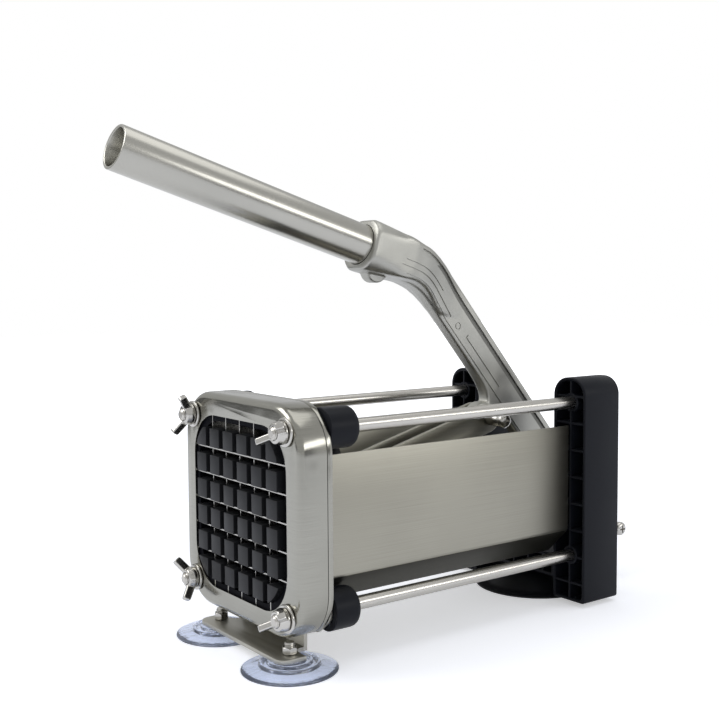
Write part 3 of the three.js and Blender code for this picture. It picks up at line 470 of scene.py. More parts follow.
def makeCover():
    shell = plateAcross("coverShell", cover["half"], cover["radius"], 0, cover["depth"], gridZ)
    faceY = frontY + hair
    backY = frontY + cover["depth"] * mm - hair
    choose(shell, False, lambda *spots: all(spot.y < faceY for spot in spots))
    bpy.ops.mesh.bevel(offset=cover["bend"] * mm, segments=8, affect="EDGES")
    choose(shell, True, lambda *spots: all(spot.y > backY for spot in spots))
    bpy.ops.mesh.delete(type="FACE")
    outward(shell)
    sheet = shell.modifiers.new("sheet", "SOLIDIFY")
    sheet.thickness = cover["sheet"] * mm
    sheet.offset = -1
    bpy.ops.object.modifier_apply(modifier="sheet")
    openPlate(shell, cover["window"], *cover["cut"])
    return smooth(soften(shell, 0.35, 3, 40), 40)


def makeBackPlate():
    front, end = backPlate["front"], backPlate["end"]
    plate = plateAcross("backPlate", cover["half"], cover["radius"], front, end, gridZ)
    openPlate(plate, backPlate["window"], *backPlate["cut"])
    return smooth(soften(plate, 0.3, 2, 40), 40)


use(makeCover(), finishes["coverSteel"], "frame", "stainless", "front_cover")
use(makeBackPlate(), finishes["coverSteel"], "frame", "stainless", "back_plate")
print("cover made")

# rods and their fasteners
thread = {"pitch": 0.8, "crest": 0.12}
rod = {"radius": 3.2, "thread": 2.8, "groove": 0.38, "front": -7.6, "threadEnd": -1.6, "shoulder": 17.3,
       "end": 189.8, "rounding": 0.4}
nut = {"hub": 5.2, "nose": 4.3, "height": 4.6, "bore": 3.05, "wingThick": 2.9, "wingTop": 9, "voxel": 0.24,
       "front": -1.6,
       "wing": [(2.4, 1.0), (4.7, 1.0), (10.75, 5.2), (11.05, 6.0), (9.7, 8.3), (8.9, 8.65), (2.4, 4.3)]}
wingTurns = {"top_right": 27, "top_left": 63, "bottom_left": 120, "bottom_right": 30}
disc = {"radius": 6.4, "bore": 3.1, "thick": 1.0, "edge": 0.2, "front": -0.3}
sleeve = {"radius": 9.4, "bore": 3.5, "front": 17.3, "frontLow": 19.4, "end": 33.3, "edge": 0.4,
          "crown": [(0, 3), (0.15, 1.9), (0.6, 0.95), (1.3, 0.3), (2.2, 0)]}


def threadRings(radius, groove, start, end):
    # a crest and a groove for each turn, and the last crest
    rings = []
    along = start
    while along < end:
        crest = along + thread["crest"]
        rings += [(radius, along), (radius, crest), (radius - groove, along + thread["pitch"] / 2)]
        along += thread["pitch"]
    return rings + [(radius, along)]


def makeRod():
    radius, front, end = rod["thread"], rod["front"], rod["end"]
    rings = [(radius - 0.9, front), (radius - 0.35, front + 0.5)]
    rings += threadRings(radius, rod["groove"], front + 0.7, rod["threadEnd"])
    rings += [(radius, rod["shoulder"]), (rod["radius"], rod["shoulder"] + 0.01)]
    rings += [(rod["radius"], end - rod["rounding"]), (rod["radius"] - rod["rounding"], end)]
    piece = turned("tieRod", rings, steps=64)
    return smooth(placedAlong(piece, "+Y", place(0, 0, 0)), 35)


def makeWingNut():
    hub = turned("wingNut", [
        (nut["hub"] - 0.3, 0), (nut["hub"], 0.3), (nut["hub"], 1.7), (nut["nose"] + 0.25, 4.2),
        (nut["nose"] - 0.4, nut["height"])], steps=48)
    wings = []
    for side in (1, -1):
        blade = traced("wing", [(side * u, v) for u, v in nut["wing"]], nut["wingThick"])
        blade.rotation_euler = (math.pi / 2, 0, 0)
        blade.location = (0, nut["wingThick"] / 2 * mm, 0)
        wings.append(soften(settle(blade), 0.5, 3, 25))
    castOver(fuse(hub, *wings), nut["voxel"], 4)
    return smooth(drilled(hub, nut["bore"], nut["wingTop"], 48), 45)


def makeSleeve(name, length):
    radius, bore, edge = sleeve["radius"], sleeve["bore"], sleeve["edge"]
    rings = [(bore, 0), (radius - 0.3, 0), (radius, 0.3)]
    rings += [(radius - drop, length - back) for drop, back in sleeve["crown"]]
    rings += [(bore + edge, length), (bore, length - edge), (bore, 0)]
    return turned("sleeve_" + name, rings, closedRing=True)


baseRod = makeRod()
baseNut = makeWingNut()
baseWasher = ringOf("washer", disc["radius"], disc["bore"], 0, disc["thick"], disc["edge"])
for name, (x, z) in corners.items():
    tieRod = copyOf(baseRod, "tieRod_" + name, (x, 0, z))
    use(tieRod, finishes["rodSteel"], "frame", "ground_steel", "tie_rod_" + name)
    wingNut = copyOf(baseNut, "wingNut_" + name)
    wingNut.rotation_euler = (0, 0, math.radians(wingTurns[name]))
    settle(wingNut)
    placedAlong(wingNut, "-Y", place(x, nut["front"], z))
    use(wingNut, finishes["boltSteel"], "frame", "fastener", "wing_nut_" + name)
    washer = placedAlong(copyOf(baseWasher, "washer_" + name), "-Y", place(x, disc["front"], z))
    use(washer, finishes["boltSteel"], "frame", "fastener", "washer_" + name)
    start = sleeve["frontLow"] if "bottom" in name else sleeve["front"]
    tube = placedAlong(makeSleeve(name, sleeve["end"] - start), "+Y", place(x, start, z))
    use(smooth(tube, 40), finishes["blackPlastic"], "frame", "black_plastic", "sleeve_" + name)
discard(baseRod, baseNut, baseWasher)
print("rods and nuts made")

# screws, bolts and nuts
panShape = {"crown": 0.55, "steps": 7, "flat": 0.45, "middle": 0.44, "slot": 1.1, "slotWidth": 0.24,
            "slotDepth": 0.9}
screwSize = {"radius": 3.9, "height": 2.6, "shank": 2, "length": 17}
screwSpots = {"rear": 202.0, "bracketX": 14.8, "bracketY": 204.8, "bracketZ": 18.8, "hook": (0, 31.0, 70.7)}
boltSize = {"head": 3.9, "height": 3.4, "shank": 2.6, "seat": 10.3, "tail": 6.3, "gap": 0.3,
            "collar": 3.5, "collarLength": 9.7, "bore": 2.9, "nut": 4.6, "nutHeight": 4}
bolts = {
    "pivot": {"body": "frame", "clamp": 10.9},
    "link": {"body": "lever", "clamp": 7.4},
}


def panHead(name, radius, height, shank, length):
    # a low round head with a cross slot on a plain shank
    crown = height * panShape["crown"]
    low = height - crown
    flat = panShape["flat"]
    rings = [(shank, -length), (shank, 0), (radius - 0.15, 0), (radius, 0.15), (radius, low)]
    for i in range(1, panShape["steps"]):
        angle = math.pi / 2 * i / panShape["steps"]
        rings.append((radius * (flat + (1 - flat) * math.cos(angle)), low + crown * math.sin(angle)))
    rings.append((radius * panShape["middle"], height))
    head = turned(name, rings, steps=40)
    sizes = (panShape["slot"] * radius, panShape["slotWidth"] * radius, panShape["slotDepth"] * height)
    for turn in (0, math.pi / 2):
        clearSelection()
        bpy.ops.mesh.primitive_cube_add(size=1, location=(0, 0, height * mm), rotation=(0, 0, turn))
        slot = bpy.context.object
        slot.scale = [size * mm for size in sizes]
        carve(head, settle(slot))
    return smooth(head, 35)


def hexNut(name, radius, height, bore):
    # six sides with rounded corners at both ends
    body = turned(name, [(radius, 0), (radius, height)], steps=6)
    narrow, wide = radius * 0.86, radius * 1.02
    cone = turned("chamferTool", [
        (narrow, -0.01), (wide, height * 0.22), (wide, height * 0.78), (narrow, height + 0.01)], steps=48)
    carve(body, cone, operation="INTERSECT")
    return smooth(drilled(body, bore, height), 25)


def useScrew(base, name, spot, body, node):
    screw = placedAlong(copyOf(base, name), "+Y", place(*spot))
    use(screw, finishes["boltSteel"], body, "fastener", node)


rearScrew = panHead("rearScrew", **screwSize)
for name, (x, z) in corners.items():
    useScrew(rearScrew, "rearScrew_" + name, (x, screwSpots["rear"], z), "frame", "rear_screw_" + name)
for name, side in (("right", 1), ("left", -1)):
    spot = (side * screwSpots["bracketX"], screwSpots["bracketY"], screwSpots["bracketZ"])
    useScrew(rearScrew, "bracketScrew_" + name, spot, "frame", "bracket_screw_" + name)
useScrew(rearScrew, "hookScrew", screwSpots["hook"], "ram", "hook_screw")
discard(rearScrew)

for name, bolt in bolts.items():
    y, z = axes[name]
    clamp = bolt["clamp"]
    seat = clamp + boltSize["seat"]
    shank = seat + clamp + boltSize["tail"]
    head = panHead(name + "Bolt", boltSize["head"], boltSize["height"], boltSize["shank"], shank)
    placedAlong(head, "+X", place(seat, y, z))
    use(head, finishes["boltSteel"], bolt["body"], "fastener", name + "_bolt")
    collar = ringOf(name + "Sleeve", boltSize["collar"], boltSize["bore"], 0, boltSize["collarLength"], 0.2)
    placedAlong(collar, "+X", place(clamp + boltSize["gap"], y, z))
    use(collar, finishes["boltSteel"], bolt["body"], "fastener", name + "_sleeve")
    lock = hexNut(name + "Nut", boltSize["nut"], boltSize["nutHeight"], boltSize["bore"])
    placedAlong(lock, "-X", place(-clamp - boltSize["gap"], y, z))
    use(lock, finishes["boltSteel"], bolt["body"], "fastener", name + "_nut")
print("bolts made")

# trough
trough = {"half": 41, "top": 28.2, "bend": 27, "sheet": 1, "front": 17.3, "end": 175.0, "round": 1.3,
          "below": 20}


def makeTrough():
    out, low, top = trough["half"], trough["bend"], trough["top"]
    inn = out - trough["sheet"]
    inLow = low - trough["sheet"] * math.tan(math.pi / 8)
    outer = [(out, top), (out, -low), (low, -out), (-low, -out), (-out, -low), (-out, top)]
    inner = [(-inn, top), (-inn, -inLow), (-inLow, -inn), (inLow, -inn), (inn, -inLow), (inn, top)]
    sheet = traced("trough", [(x, z + gridZ) for x, z in outer + inner], trough["end"] - trough["front"])
    acrossXZ(sheet, trough["front"])
    limit = (gridZ - trough["below"]) * mm
    choose(sheet, False, lambda a, b: abs(a.y - b.y) > 0.1 and a.z < limit)
    bpy.ops.mesh.bevel(offset=trough["round"] * mm, segments=6, affect="EDGES")
    return smooth(soften(sheet, 0.2, 2, 60), 30)


def shadeChamfer(sheet):
    # the slanting lower faces, which face down and out, get a darker steel: painted shade
    sheet.data.materials.append(finishes["chamferShadeSteel"])
    for polygon in sheet.data.polygons:
        polygon.material_index = int(polygon.normal.z < -0.5 and abs(polygon.normal.x) > 0.5)


shadeChamfer(use(makeTrough(), finishes["sheetSteel"], "frame", "stainless", "trough"))
print("trough made")

# rear frame
post = {"inner": 29.9, "width": 22.1, "front": 175.3, "end": 201.7, "low": 2.3, "high": 120.6, "top": 9.5,
        "foot": 1.6, "wall": 1.8, "back": 3, "rib": 1.2, "ribs": 8, "ribPitch": 14.1,
        "boss": 4.9, "bossBore": 3.4, "bossLength": 23.5}
beamSize = {"low": 12.6, "high": 25, "wall": 1.8, "side": 2, "ribs": (-22, -11, 0, 11, 22)}


def postOutline(inset):
    left, right = post["inner"] + inset, post["inner"] + post["width"] - inset
    low, high = post["low"] + inset, post["high"] - inset
    top = post["top"] - inset
    foot = post["foot"]
    return (arc(right - foot, low + foot, foot, -90, 0, 5) + arc(right - top, high - top, top, 0, 90)
            + arc(left + top, high - top, top, 90, 180) + arc(left + foot, low + foot, foot, 180, 270, 5))


def makePost():
    front, end = post["front"], post["end"]
    body = acrossXZ(traced("rearPost", postOutline(0), end - front), front)
    hollow = traced("hollowTool", postOutline(post["wall"]), end - post["back"] - front + slack)
    carve(body, acrossXZ(hollow, front - slack))
    soften(body, 0.7, 3, 50)
    x0, x1 = post["inner"] + 1, post["inner"] + post["width"] - 1
    ribs = []
    half = post["rib"] / 2
    ribEnd = end - 2.5
    for i in range(post["ribs"]):
        z = (post["low"] + post["high"]) / 2 + (i - (post["ribs"] - 1) / 2) * post["ribPitch"]
        ribs.append(block("rib", x0, x1, front + 0.5, ribEnd, z - half, z + half))
    low, high = post["low"] + 1, post["high"] - 1
    ribs.append(block("rib", studs["x"] - half, studs["x"] + half, front + 0.3, ribEnd, low, high))
    for z in (gridZ - studs["z"], gridZ + studs["z"]):
        boss = ringOf("boss", post["boss"], post["bossBore"], 0, post["bossLength"], 0.3)
        ribs.append(placedAlong(boss, "+Y", place(studs["x"], front + 0.4, z)))
    for rib in ribs:
        soften(rib, 0.25, 2, 60)
    fuse(body, *ribs)
    return smooth(body, 35)


def makeRearFrame():
    right = makePost()
    left = copyOf(right, "leftPost")
    left.scale = (-1, 1, 1)
    outward(settle(left))
    front, end = post["front"], post["end"]
    low, high, wall = beamSize["low"], beamSize["high"], beamSize["wall"]
    reach = post["inner"] + 1
    beam = block("beam", -reach, reach, front, end, low, high)
    inner = reach - beamSize["side"]
    back = end - post["back"]
    carve(beam, block("hollowTool", -inner, inner, front - slack, back, low + wall, high - wall))
    half = post["rib"] / 2
    ribs = [block("rib", x - half, x + half, front + 0.5, end - 2, low + 1, high - 1)
            for x in beamSize["ribs"]]
    soften(beam, 0.5, 2, 50)
    fuse(right, left, beam, *ribs)
    right.name = "rearFrame"
    return smooth(right, 35)


use(makeRearFrame(), finishes["blackPlastic"], "frame", "black_plastic", "rear_frame")
print("rear frame made")

# feet
cup = {"x": 31, "y": 7.4, "rings": [
    (1.0, 2.6), (5.5, 2.4), (12.0, 1.5), (16.5, 0.5), (19.0, 0.05), (21.6, 0.0), (21.9, 0.25), (21.8, 0.65),
    (20.6, 1.05), (18.0, 1.6), (15.0, 2.1), (14.1, 2.4), (13.9, 3.5), (13.4, 3.9), (12.6, 3.9), (12.2, 3.4),
    (11.4, 3.0), (10.4, 3.1), (10.2, 4.3), (9.6, 4.6), (8.8, 4.5), (8.4, 3.7), (7.4, 3.7), (7.1, 4.5),
    (6.6, 4.7), (3.1, 4.7), (2.9, 4.4), (2.9, 3.2), (1.0, 3.1)]}
cupStud = {"radius": 2.5, "groove": 0.35, "low": 3.3, "threadLow": 6.7, "threadHigh": 11.4, "high": 12.3}
cupNut = {"radius": 3.6, "height": 3.2, "bore": 2.8, "low": 7.1}
rearCup = {"y": 191.1, "rings": [
    (1.0, 6.1), (11, 5.5), (17, 3.2), (22.7, 1.5), (27.9, 0.0), (32.1, 0.0), (32.4, 0.3), (32.3, 0.9),
    (31.2, 1.3), (27.9, 1.45), (25.5, 2.6), (23.3, 5.1), (19.5, 7.6), (15.2, 9.3), (12.7, 10.1), (11.4, 11.2),
    (11.0, 12.0), (10.7, 12.3), (2.5, 12.31), (2.5, 20.9), (2.2, 21.1)]}


def makeCupStud(name):
    radius, low = cupStud["radius"], cupStud["low"]
    rings = [(radius - 0.3, low), (radius, low + 0.3), (radius, cupStud["threadLow"] - 0.1)]
    rings += threadRings(radius, cupStud["groove"], cupStud["threadLow"], cupStud["threadHigh"])
    rings.append((radius - 0.4, cupStud["high"]))
    return turned(name, rings, steps=40)


for name, side in (("right", 1), ("left", -1)):
    x = side * cup["x"]
    frontCup = placedAlong(turned("frontCup_" + name, cup["rings"], steps=96), "+Z", place(x, cup["y"], 0))
    use(smooth(frontCup, 50), finishes["clearVinyl"], "frame", "clear_cup", "front_suction_cup_" + name)
    stud = placedAlong(makeCupStud("cupStud_" + name), "+Z", place(x, cup["y"], 0))
    use(smooth(stud, 35), finishes["boltSteel"], "frame", "fastener", "cup_stud_" + name)
    lock = hexNut("cupNut_" + name, cupNut["radius"], cupNut["height"], cupNut["bore"])
    placedAlong(lock, "+Z", place(x, cup["y"], cupNut["low"]))
    use(lock, finishes["boltSteel"], "frame", "fastener", "cup_nut_" + name)

rubber = placedAlong(turned("rearCup", rearCup["rings"], steps=120), "+Z", place(0, rearCup["y"], 0))
use(smooth(rubber, 50), finishes["blackRubber"], "frame", "black_rubber", "rear_suction_cup")
print("feet made")

# lever
lever = {"angle": 130.6, "length": 196.2, "width": 20.7, "thick": 8, "knee": 40, "handle": 163.1,
         "hub": 12, "hubHalf": 8, "bore": 2.9, "lug": 6, "lugBack": 10.2, "earHalf": 5, "earBoss": 7.4,
         "voxel": 0.6}
earPlate = {"radius": 8.4, "arc": (75, 234), "above": 22, "corner": 7, "below": 20, "top": (2.2, 8.1),
            "steps": 12}
socketSize = {"end": 41, "depth": 34, "half": 12.9, "straight": 16, "bore": 10.3, "flare": 3.4, "back": 140,
              "wedge": [(-34, 3.5), (-20, 4.6), (-6, 7.4), (6, 11)], "mouth": 14.3,
              "cone": [(45, -70), (45, -4), (15.4, 24)], "voxel": 0.8, "rounding": 30}
tubeSize = {"radius": 10, "wall": 1.5, "end": 175, "inset": 0.3, "edge": 0.5}
band = {"side": 5.6, "width": 2.9, "depth": 0.9, "start": 30, "end": 13}
grooves = {
    "depth": 0.45,
    "lines": [(-8.3, 0.7, 62, 20), (-4.6, 0.7, 168, 24), (-1.4, 0.6, 183, 22)],
    "straight": [(-3.7, 0.7, 116, 152), (-3.0, 2.1, 152.1, 152.8)],
    "ring": (161, -4.0, 1.9, 0.45),
}
toolHalf = 20  # the cutting tools reach this far to both sides of the lever


def heading(degrees):
    return Vector((math.cos(math.radians(degrees)), math.sin(math.radians(degrees))))


pivot = Vector(axes["pivot"])
ear = Vector(axes["link"])
armWay = heading(lever["angle"])
handleWay = heading(lever["handle"])
armSide = Vector((armWay.y, -armWay.x))
handleSide = Vector((handleWay.y, -handleWay.x))
knee = pivot + armWay * lever["length"]
bend = math.radians(lever["handle"] - lever["angle"])
bendReach = lever["knee"] * math.tan(bend / 2)
bendCentre = knee - armWay * bendReach - armSide * lever["knee"]


def onArm(along, side):
    return pivot + armWay * along + armSide * side


def barEdge(side, start, end, flare=0, steps=18):
    # one edge of the bent bar: straight along the arm, round the bend, straight along the handle
    points = [onArm(start, side)]
    for i in range(steps + 1):
        turn = bend * i / steps
        across = armSide.x * math.cos(turn) - armSide.y * math.sin(turn)
        upward = armSide.x * math.sin(turn) + armSide.y * math.cos(turn)
        points.append(bendCentre + Vector((across, upward)) * (lever["knee"] + side))
    points.append(knee + handleWay * end + handleSide * (side + flare))
    return [tuple(point) for point in points]


def barPiece(name, low, high, start, end, x, depth, flare=0):
    outline = barEdge(high, start, end, flare) + barEdge(low, start, end, -flare)[::-1]
    return acrossYZ(traced(name, outline, depth), x)


def sideOf(spot):
    # how far a place on the lever is from the middle line of the bent bar
    way = Vector((spot.y, spot.z)) - knee
    if way.dot(armWay) < -bendReach:
        return way.dot(armSide)
    if way.dot(handleWay) > bendReach:
        return way.dot(handleSide)
    return (way + knee - bendCentre).length - lever["knee"]


def alongHandle(piece):
    # a piece standing on the origin is tipped onto the line of the handle
    piece.rotation_euler = (math.radians(lever["handle"] - 90), 0, 0)
    piece.location = place(0, knee.x, knee.y)
    return settle(piece)


def stripe(side, width, start, end):
    return barPiece("stripeTool", side - width / 2, side + width / 2, start, end, -toolHalf, toolHalf * 2)


def straightStripe(side, width, start, end):
    low, high = side - width / 2, side + width / 2
    outline = [tuple(onArm(*corner)) for corner in ((start, low), (end, low), (end, high), (start, high))]
    return acrossYZ(traced("stripeTool", outline, toolHalf * 2), -toolHalf)


def roundMark(along, side, radius, width):
    spot = onArm(along, side)
    mark = ringOf("markTool", radius, radius - width, 0, toolHalf * 2, 0.05)
    return placedAlong(mark, "+X", place(-toolHalf, spot.x, spot.y))


def shrunk(piece, depth):
    core = copyOf(piece, "core")
    pick(core)
    inset = core.modifiers.new("inset", "DISPLACE")
    inset.strength = -depth * mm
    inset.mid_level = 0
    bpy.ops.object.modifier_apply(modifier="inset")
    return core


def engraved(piece, core, *tools):
    # the tools cut right through, then the shrunk core fills the middle and leaves shallow grooves
    carve(piece, *tools)
    return carve(piece, core, operation="UNION")


def makeSocket():
    # a wedge seen from above is cut to the outline of the bent bar, then rounded like a casting
    end, half = socketSize["end"] + 1, socketSize["half"]
    outline = socketSize["wedge"] + [(socketSize["straight"], half), (end, half)]
    outline += [(along, -across) for along, across in outline[::-1]]
    wedge = traced("socket", outline, toolHalf * 2)
    wedge.matrix_world = Matrix((
        (0, 1, 0, 0), (handleWay.x, 0, handleSide.x, 0), (handleWay.y, 0, handleSide.y, 0), (0, 0, 0, 1)))
    wedge.location = place(0, knee.x - handleSide.x * toolHalf, knee.y - handleSide.y * toolHalf)
    settle(wedge)
    side = lever["width"] / 2 - 0.6
    outer = barPiece(
        "outlineTool", -side, side, socketSize["back"], end, -toolHalf, toolHalf * 2, socketSize["flare"])
    carve(wedge, outer, operation="INTERSECT")
    cone = turned("coneTool", socketSize["cone"] + [(socketSize["mouth"], end + 1)], steps=96)
    carve(wedge, alongHandle(cone), operation="INTERSECT")
    return castOver(wedge, socketSize["voxel"], socketSize["rounding"])


def makeEarPlate():
    # the ear grows out of the arm in a hollow curve and ends in an arc round the link bolt
    along = (ear - pivot).dot(armWay)
    inner = -lever["width"] / 4
    upper = onArm(along + earPlate["above"], inner)
    upperFront = upper + armSide * inner
    corner = onArm(along + earPlate["corner"], inner * 2)
    lower = onArm(along - earPlate["below"], inner)
    top = ear + Vector(earPlate["top"])
    outline = [tuple(upper), tuple(upperFront)]
    for i in range(1, earPlate["steps"]):
        t = i / earPlate["steps"]
        outline.append(tuple(upperFront * (1 - t) ** 2 + corner * 2 * t * (1 - t) + top * t * t))
    outline += arc(ear.x, ear.y, earPlate["radius"], *earPlate["arc"], 24)
    outline.append(tuple(lower))
    return soften(acrossYZ(traced("earPlate", outline, lever["thick"]), -lever["thick"] / 2), 1.0, 3, 60)


def makeArm():
    half = lever["thick"] / 2
    side = lever["width"] / 2
    end = socketSize["end"]
    arm = soften(barPiece("leverArm", -side, side, 0, end - 6, -half, lever["thick"]), 1.0, 3, 60)
    plate = makeEarPlate()
    boss = rodX("earBoss", lever["earBoss"], -lever["earHalf"], lever["earHalf"], ear.x, ear.y, 64)
    soften(boss, 0.6, 2, 60)
    hub = rodX("hub", lever["hub"], -lever["hubHalf"], lever["hubHalf"], pivot.x, pivot.y, 72)
    soften(hub, 0.8, 3, 60)
    socket = makeSocket()
    lugSpot = knee + handleWay * (end - lever["lugBack"]) - handleSide * tubeSize["radius"]
    lug = soften(rodX("lug", lever["lug"], -half, half, lugSpot.x, lugSpot.y, 48), 1.0, 3, 60)
    castOver(fuse(arm, plate, boss, hub, socket, lug), lever["voxel"], 8)
    # each face has a sunken band beside the back border, a line along the front rim and shallow marks
    shallowCore, deepCore = shrunk(arm, grooves["depth"]), shrunk(arm, band["depth"])
    tools = [stripe(*line) for line in grooves["lines"]]
    tools += [straightStripe(*line) for line in grooves["straight"]]
    tools.append(roundMark(*grooves["ring"]))
    engraved(arm, shallowCore, *tools)
    engraved(arm, deepCore, stripe(band["side"], band["width"], band["start"], band["end"]))
    bore = [(socketSize["bore"], end - socketSize["depth"]), (socketSize["bore"], end + slack)]
    carve(arm, alongHandle(turned("boreTool", bore)))
    for spot in (ear, pivot):
        carve(arm, rodX("boreTool", lever["bore"], -toolHalf, toolHalf, spot.x, spot.y))
    return smooth(arm, 45)


def shadeRecess(arm):
    # the floor of the sunken band gets a darker cast alloy: painted shade in the recess
    arm.data.materials.append(finishes["recessShadeCast"])
    inside = band["width"] / 2 - 0.05
    low, high = band["side"] - inside, band["side"] + inside
    for polygon in arm.data.polygons:
        spot = (polygon.center - place(0, 0, 0)) / mm
        reach = (Vector((spot.y, spot.z)) - pivot).length
        flat = abs(polygon.normal.x) > 0.5
        along = reach > band["start"] and spot.z < knee.y + 2
        polygon.material_index = int(flat and along and low < sideOf(spot) < high)


def makeTube():
    start = socketSize["end"] - socketSize["depth"] + tubeSize["inset"]
    end, edge = tubeSize["end"], tubeSize["edge"]
    out = tubeSize["radius"]
    inn = out - tubeSize["wall"]
    turn = edge * 0.3
    rings = [
        (inn + 0.2, start), (out - 0.4, start), (out, start + 0.4), (out, end - edge),
        (out - turn, end - turn), (out - edge, end), (inn + edge, end), (inn + turn, end - turn),
        (inn, end - edge), (inn, start + 0.2), (inn + 0.2, start),
    ]
    return smooth(alongHandle(turned("handleTube", rings, closedRing=True, steps=96)), 40)


shadeRecess(use(makeArm(), finishes["castAlloy"], "lever", "casting", "lever_arm"))
use(makeTube(), finishes["tubeSteel"], "lever", "stainless", "handle_tube")
print("lever made")

# link
link = {"radius": 7.5, "inner": 5.4, "thick": 2, "rearBore": 2.9, "frontBore": 3.3}
pinEnd = [(3.0, 10.49), (3.9, 10.5), (4.2, 10.8), (4.2, 11.5), (3.2, 12.0)]


def makeLinkPlate(name, x):
    rear, front = axes["link"], axes["pin"]
    slope = math.degrees(math.atan2(rear[1] - front[1], rear[0] - front[0]))
    outline = arc(*rear, link["radius"], slope - 90, slope + 90, 24)
    outline += arc(*front, link["radius"], slope + 90, slope + 270, 24)
    plate = acrossYZ(traced(name, outline, link["thick"]), x)
    carve(plate, rodX("holeTool", link["rearBore"], -toolHalf, toolHalf, *rear))
    carve(plate, rodX("holeTool", link["frontBore"], -toolHalf, toolHalf, *front))
    return smooth(soften(plate, 0.3, 3, 50), 40)


for name, x in (("right", link["inner"]), ("left", -link["inner"] - link["thick"])):
    plate = makeLinkPlate("linkPlate_" + name, x)
    use(plate, finishes["sheetSteel"], "link", "stainless", "link_plate_" + name)
pinRings = [(radius, -along) for radius, along in pinEnd[::-1]] + pinEnd
linkPin = placedAlong(turned("linkPin", pinRings, steps=48), "+X", place(0, *axes["pin"]))
use(smooth(linkPin, 35), finishes["boltSteel"], "link", "fastener", "link_pin")
print("link made")

# ram
ram = {"peg": 4.45, "pitch": 12.7, "cells": 6, "drop": 0.85, "tip": -1.5, "plate": 22.4, "plateEnd": 28.4,
       "rim": 32.4, "half": 39.2, "radius": 22, "rimHalf": 36.8, "rimRadius": 19.6,
       "guard": 38.6, "guardRadius": 19.6}


def makePegs():
    half, middle = ram["peg"], (ram["cells"] - 1) / 2
    tip, root = ram["tip"], ram["plate"] + 2
    peg = block("peg", -half, half, tip, root, -half, half)
    pegs = []
    for column in range(ram["cells"]):
        for row in range(ram["cells"]):
            z = gridZ - ram["drop"] + (row - middle) * ram["pitch"]
            pegs.append(copyOf(peg, "peg", ((column - middle) * ram["pitch"], 0, z)))
    discard(peg)
    stack = fuse(*pegs)
    guard = plateAcross("guardTool", ram["guard"], ram["guardRadius"], tip - slack, root + slack, gridZ)
    carve(stack, guard, operation="INTERSECT")
    return soften(stack, 0.75, 3, 50)


def makeRam():
    stack = makePegs()
    plate = plateAcross("ramPlate", ram["half"], ram["radius"], ram["plate"], ram["plateEnd"], gridZ)
    soften(plate, 0.4, 2, 50)
    low, high = ram["plateEnd"] - 1, ram["rim"]
    rim = plateAcross("ramRim", ram["half"], ram["radius"], low, high, gridZ)
    carve(rim, plateAcross("rimTool", ram["rimHalf"], ram["rimRadius"], low - slack, high + slack, gridZ))
    soften(rim, 0.4, 2, 50)
    fuse(stack, plate, rim)
    stack.name = "ram"
    return smooth(stack, 35)


use(makeRam(), finishes["ramPlastic"], "ram", "black_plastic", "ram")
print("ram made")

# folded brackets, from the solids with rounded edges
notch = {"depth": 16.4, "outline": [(27.5, 60), (27.5, 15), (28.4, 12.9), (31, 11.8), (60, 11.6), (60, 60)]}


def roundedFrom(node, name, width):
    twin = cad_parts[node].copy()
    twin.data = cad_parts[node].data.copy()
    twin.name = name
    bpy.context.collection.objects.link(twin)
    twin.parent = None
    twin.matrix_world = Matrix.Identity(4)
    pick(twin)
    bpy.ops.object.mode_set(mode="EDIT")
    bpy.ops.mesh.select_all(action="SELECT")
    bpy.ops.mesh.remove_doubles(threshold=hair)
    bpy.ops.mesh.dissolve_limited(angle_limit=math.radians(1))
    bpy.ops.object.mode_set(mode="OBJECT")
    return smooth(soften(twin, width, 2, 40), 40)


def cutNotches(bracket):
    # the upright leg is narrower than the foot, so a corner is cut away on each side
    for side in (1, -1):
        corner = traced("notchTool", notch["outline"], notch["depth"])
        corner.location = place(0, 0, 0)
        corner.scale = (side, 1, 1)
        carve(bracket, outward(settle(corner)))


for node, body in (("foot_bracket", "frame"), ("pivot_bracket", "frame"), ("ram_hook", "ram")):
    bracket = roundedFrom(node, node + "_rounded", 0.3)
    if node == "foot_bracket":
        cutNotches(bracket)
    use(bracket, finishes["bracketSteel"], body, "stainless", node)
print("brackets made")

# the nodes that stay
# the blades get blade steel; the blade holder gets the blacker plastic that paints its shade
for node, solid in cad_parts.items():
    if node.startswith("blade_"):
        solid.data.materials.clear()
        solid.data.materials.append(finishes["shadedGridPlastic" if node == "blade_holder" else "bladeSteel"])

# studio
studio = {"floor": 3.0, "floorColour": (0.88, 0.9, 0.97), "floorGlow": 0.44, "fadeStart": 0.4,
          "fadeEnd": 1.2, "reflectedGlow": 0.3, "sky": (0.95, 0.97, 1), "skyStrength": 0.5,
          "reflectedSky": 0.35, "target": (0, 0, 0.09)}
lamps = {
    "keyLamp": {"spot": (-0.7, -1.1, 1.3), "size": (0.9, 0.9), "power": 11},
    "stripLamp": {"spot": (1.5, 0.75, 0.6), "size": (1.3, 0.36), "power": 5.5},
    "topLamp": {"spot": (0.1, 0.3, 1.6), "size": (1.2, 1.2), "power": 4.5},
}
cardSizes = {
    "darkCardRight": {"spot": (1.6, 0.5, 0.1), "size": (0.9, 0.5), "colour": (0.12, 0.12, 0.12)},
    "darkCardFront": {"spot": (-0.2, -1.8, 0.05), "size": (0.5, 0.4), "colour": (0.15, 0.15, 0.15)},
    "darkCardLeft": {"spot": (-0.8, -0.45, 0.1), "size": (0.5, 0.2), "colour": (0.22, 0.22, 0.21)},
}


def emptyTree(owner):
    owner.use_nodes = True
    owner.node_tree.nodes.clear()
    return owner.node_tree


def seenHow(tree):
    # what the camera sees itself or through the clear cups, and what it sees in a reflection
    paths = nodeOf(tree, "LightPath", {}).outputs
    seen = mathOf(tree, "MAXIMUM", paths["Is Camera Ray"], paths["Is Transmission Ray"])
    return seen, paths["Is Glossy Ray"]


